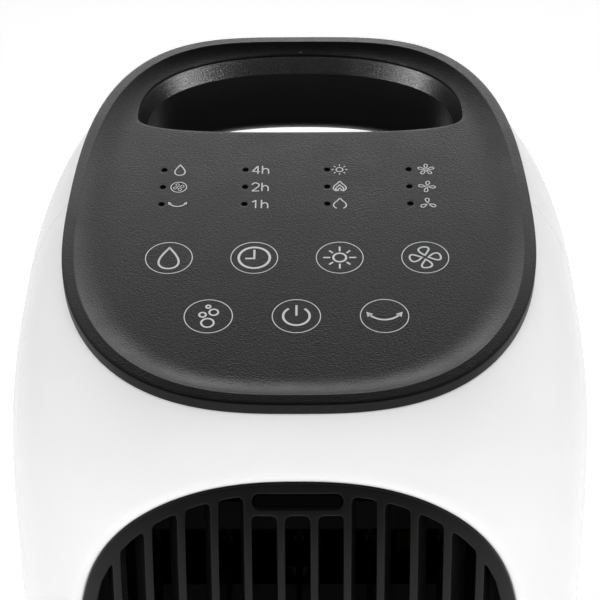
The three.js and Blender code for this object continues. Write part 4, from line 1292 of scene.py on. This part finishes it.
DOOR_BORDER = 18
DOOR_THICKNESS = 4
DOOR_SLITS = 6
DOOR_SLIT_PITCH = 27
FINE_SLIT = 4
FINE_PITCH = 6.6
DOOR_RIB = 8
TANK_CLEARANCE = 0.8
TANK_PANEL = 3.6
PULL_HALF_WIDTH = 34
PULL_DEPTH = 22
PULL_RADIUS = 9
GAUGE_X = (50, 60)
GAUGE_Z = (36, 104)
GAUGE_RADIUS = 4.5
BASE_Z = (6.4, 16)
BASE_INSET = 7
BASE_SCREWS = [(x, y) for y in (-60, 60) for x in (-60, 60)]
FEET = [(x, y) for y in (-105, 105) for x in (-85, 85)]
FOOT_PROFILE = [(0, 0), (8.6, 0), (9.6, 0.25), (10.4, 0.9), (10.9, 1.8), (11.1, 2.6), (10.7, 3),
                (10.7, 3.5), (11.3, 3.9), (11.8, 5), (12, 6), (0, 6)]
GLAND_PROFILE = [(0, 138), (4, 138), (4, 147.9), (4.5, 148.4), (8.9, 148.4), (9.6, 147.7), (9.6, 146.2),
                 (8.9, 145.8), (8.9, 144.8), (9.6, 144.4), (9.6, 143), (8.9, 142.6), (8.9, 141.6),
                 (9.6, 141.2), (9.6, 139.6), (12.6, 139), (13, 138.5), (13, 134), (0, 134)]


SCREW_HEAD = 3.6
SCREW_FACE_Y = 139.5
SCREW_DOME = 0.9
SCREW_THICKNESS = 2.2
SCREW_DRIVE = (2.1, 0.5)
SHANK_PROFILE = [(0, 137.6), (3.5, 137.6), (3.5, 136), (1.8, 136), (1.8, 122.5), (1.3, 122), (0, 122)]


def lathed(profile, middle, upright, sides=48):
    """A closed skin round an upright axis, or one that runs front to back."""
    return loft([
        np.insert(circle(*middle, max(radius, 0.01), sides), 2 if upright else 1, along, axis=1)
        for radius, along in profile
    ])


def make_intake_door():
    low, high = DOOR_Z
    middle = (low + high) / 2
    spans = [(low + DOOR_BORDER + 1, middle - DOOR_RIB / 2), (middle + DOOR_RIB / 2, high - DOOR_BORDER - 1)]
    slits = []
    for i in range(DOOR_SLITS):
        for j in (-1, 0, 1):
            x = (i - (DOOR_SLITS - 1) / 2) * DOOR_SLIT_PITCH + j * FINE_PITCH
            slits += [rounded_box(x - FINE_SLIT / 2, x + FINE_SLIT / 2, *span, 1.95, 2.2) for span in spans]
    outline = rounded_box(-DOOR_HALF_WIDTH, DOOR_HALF_WIDTH, low, high, 11, 3)
    made = body_sheet(REAR, [outline, *slits], GAP, DOOR_THICKNESS, 0.9)
    add_piece("intake_door_skin", made, "shell_white", ["intake_door"], body="door")


def make_tank_front():
    half = BAY_HALF_WIDTH - TANK_CLEARANCE
    top = BAY_TOP - TANK_CLEARANCE
    foot = BODY_FOOT + GAP
    notch = BAY_TOP - PULL_DEPTH
    right = [(half, foot), (half, top), (PULL_HALF_WIDTH, top), (PULL_HALF_WIDTH, notch)]

    def radius_of(corner):
        if corner[1] == notch:
            return PULL_RADIUS
        return 2.5 if abs(corner[0]) == PULL_HALF_WIDTH else 5

    outline = filleted([(-half, foot), *right, *mirrored(np.array(right))[:-1]], radius_of, 2.4)
    gauge = rounded_box(*GAUGE_X, *GAUGE_Z, GAUGE_RADIUS, 1.2)
    made = body_sheet(REAR, [outline, gauge], GAP, TANK_PANEL - GAP, 0.9)
    add_piece("tank_front_skin", made, "shell_white", ["tank_front"], body="tank")


def make_level_window():
    (x0, x1), (z0, z1) = GAUGE_X, GAUGE_Z
    outline = rounded_box(x0 + GAP, x1 - GAP, z0 + GAP, z1 - GAP, GAUGE_RADIUS - GAP, 1.2)
    made = body_sheet(REAR, [outline], GAP + 0.3, TANK_PANEL - GAP - 0.3, 0.6)
    add_piece("level_window_lens", made, "gauge_clear", ["level_window"], body="tank")


def make_base():
    x, y = wall_at(full_turn(360), 1, BASE_INSET)
    outline = resampled(np.stack([x, y], 1), 4)
    holes = [circle(x, y, 5, 32) for x, y in BASE_SCREWS]

    def surface(points, depth):
        return at_level(points, BASE_Z[0]) + [0, 0, depth]

    def back(points):
        return at_level(points, float(BASE_Z[1]))

    span = np.arange(-150, 151, 12.0)
    fill = np.array([(a, b) for a in span for b in span])
    made = plate([outline, *holes], surface, [1.6] + [0.4] * len(holes), fill, back)
    add_piece("base_moulding", made, "inner_black", ["base"])


def make_feet():
    for i, middle in enumerate(FEET, 1):
        add_piece(f"foot_{i}_pad", lathed(FOOT_PROFILE, middle, True), "rubber_black", [f"foot_{i}"])


def make_cord_gland():
    add_piece("cord_gland_moulding", lathed(GLAND_PROFILE, OUTLET, False), "rubber_black", ["cord_gland"])


def cross(long, short):
    """A cross-shaped drive's outline."""
    quarter = np.array([(long, -short), (long, short), (short, short)])
    points = np.concatenate([turned_by(quarter, quarters * 90) for quarters in range(4)])
    return filleted(points, lambda corner: 0.3, 0.22)


def make_rear_screws():
    """Domed screw heads with a cross drive, on plain shanks."""
    loops = [circle(0, 0, SCREW_HEAD, 48), cross(*SCREW_DRIVE)]
    fill = np.concatenate([circle(0, 0, radius, 24) for radius in (2.5, 3)])
    for i, middle in enumerate(REAR_SCREWS, 1):
        def surface(points, depth):
            dome = SCREW_DOME * (np.linalg.norm(points, axis=1) / SCREW_HEAD) ** 2
            return np.insert(points + middle, 1, SCREW_FACE_Y - dome - depth, axis=1)

        def back(points):
            return np.insert(points + middle, 1, SCREW_FACE_Y - SCREW_THICKNESS, axis=1)

        head = plate(loops, surface, [0.5, 0.08], fill, back)
        made = joined(head, lathed(SHANK_PROFILE, middle, False, 32))
        add_piece(f"rear_screw_{i}_head", made, "motor_steel", [f"rear_screw_{i}"])


make_front_shell()
make_rear_shell()
make_intake_door()
make_tank_front()
make_level_window()
make_base()
make_feet()
make_cord_gland()
make_rear_screws()
make_cap()
make_handle_liner()
make_scoop()
make_touch_symbols()
make_indicator_symbols()
make_grille()
make_receiver_window()

# ---- carried-over CAD nodes

# The thermal cutout takes the darkened steel, which is painted shade for the dark inside behind the grille.
NODE_LOOKS = {"dust_filter": "filter_weave", "thermal_cutout": "shaded_cutout_steel"}
SLOTS = {row["node"]: row["material_slot"] for row in frame["record"]["subparts"]}

for name, node in frame["nodes"].items():
    if node.hide_render:
        continue
    node.data.materials.clear()
    node.data.materials.append(LOOKS[NODE_LOOKS.get(name, SLOTS[name])])
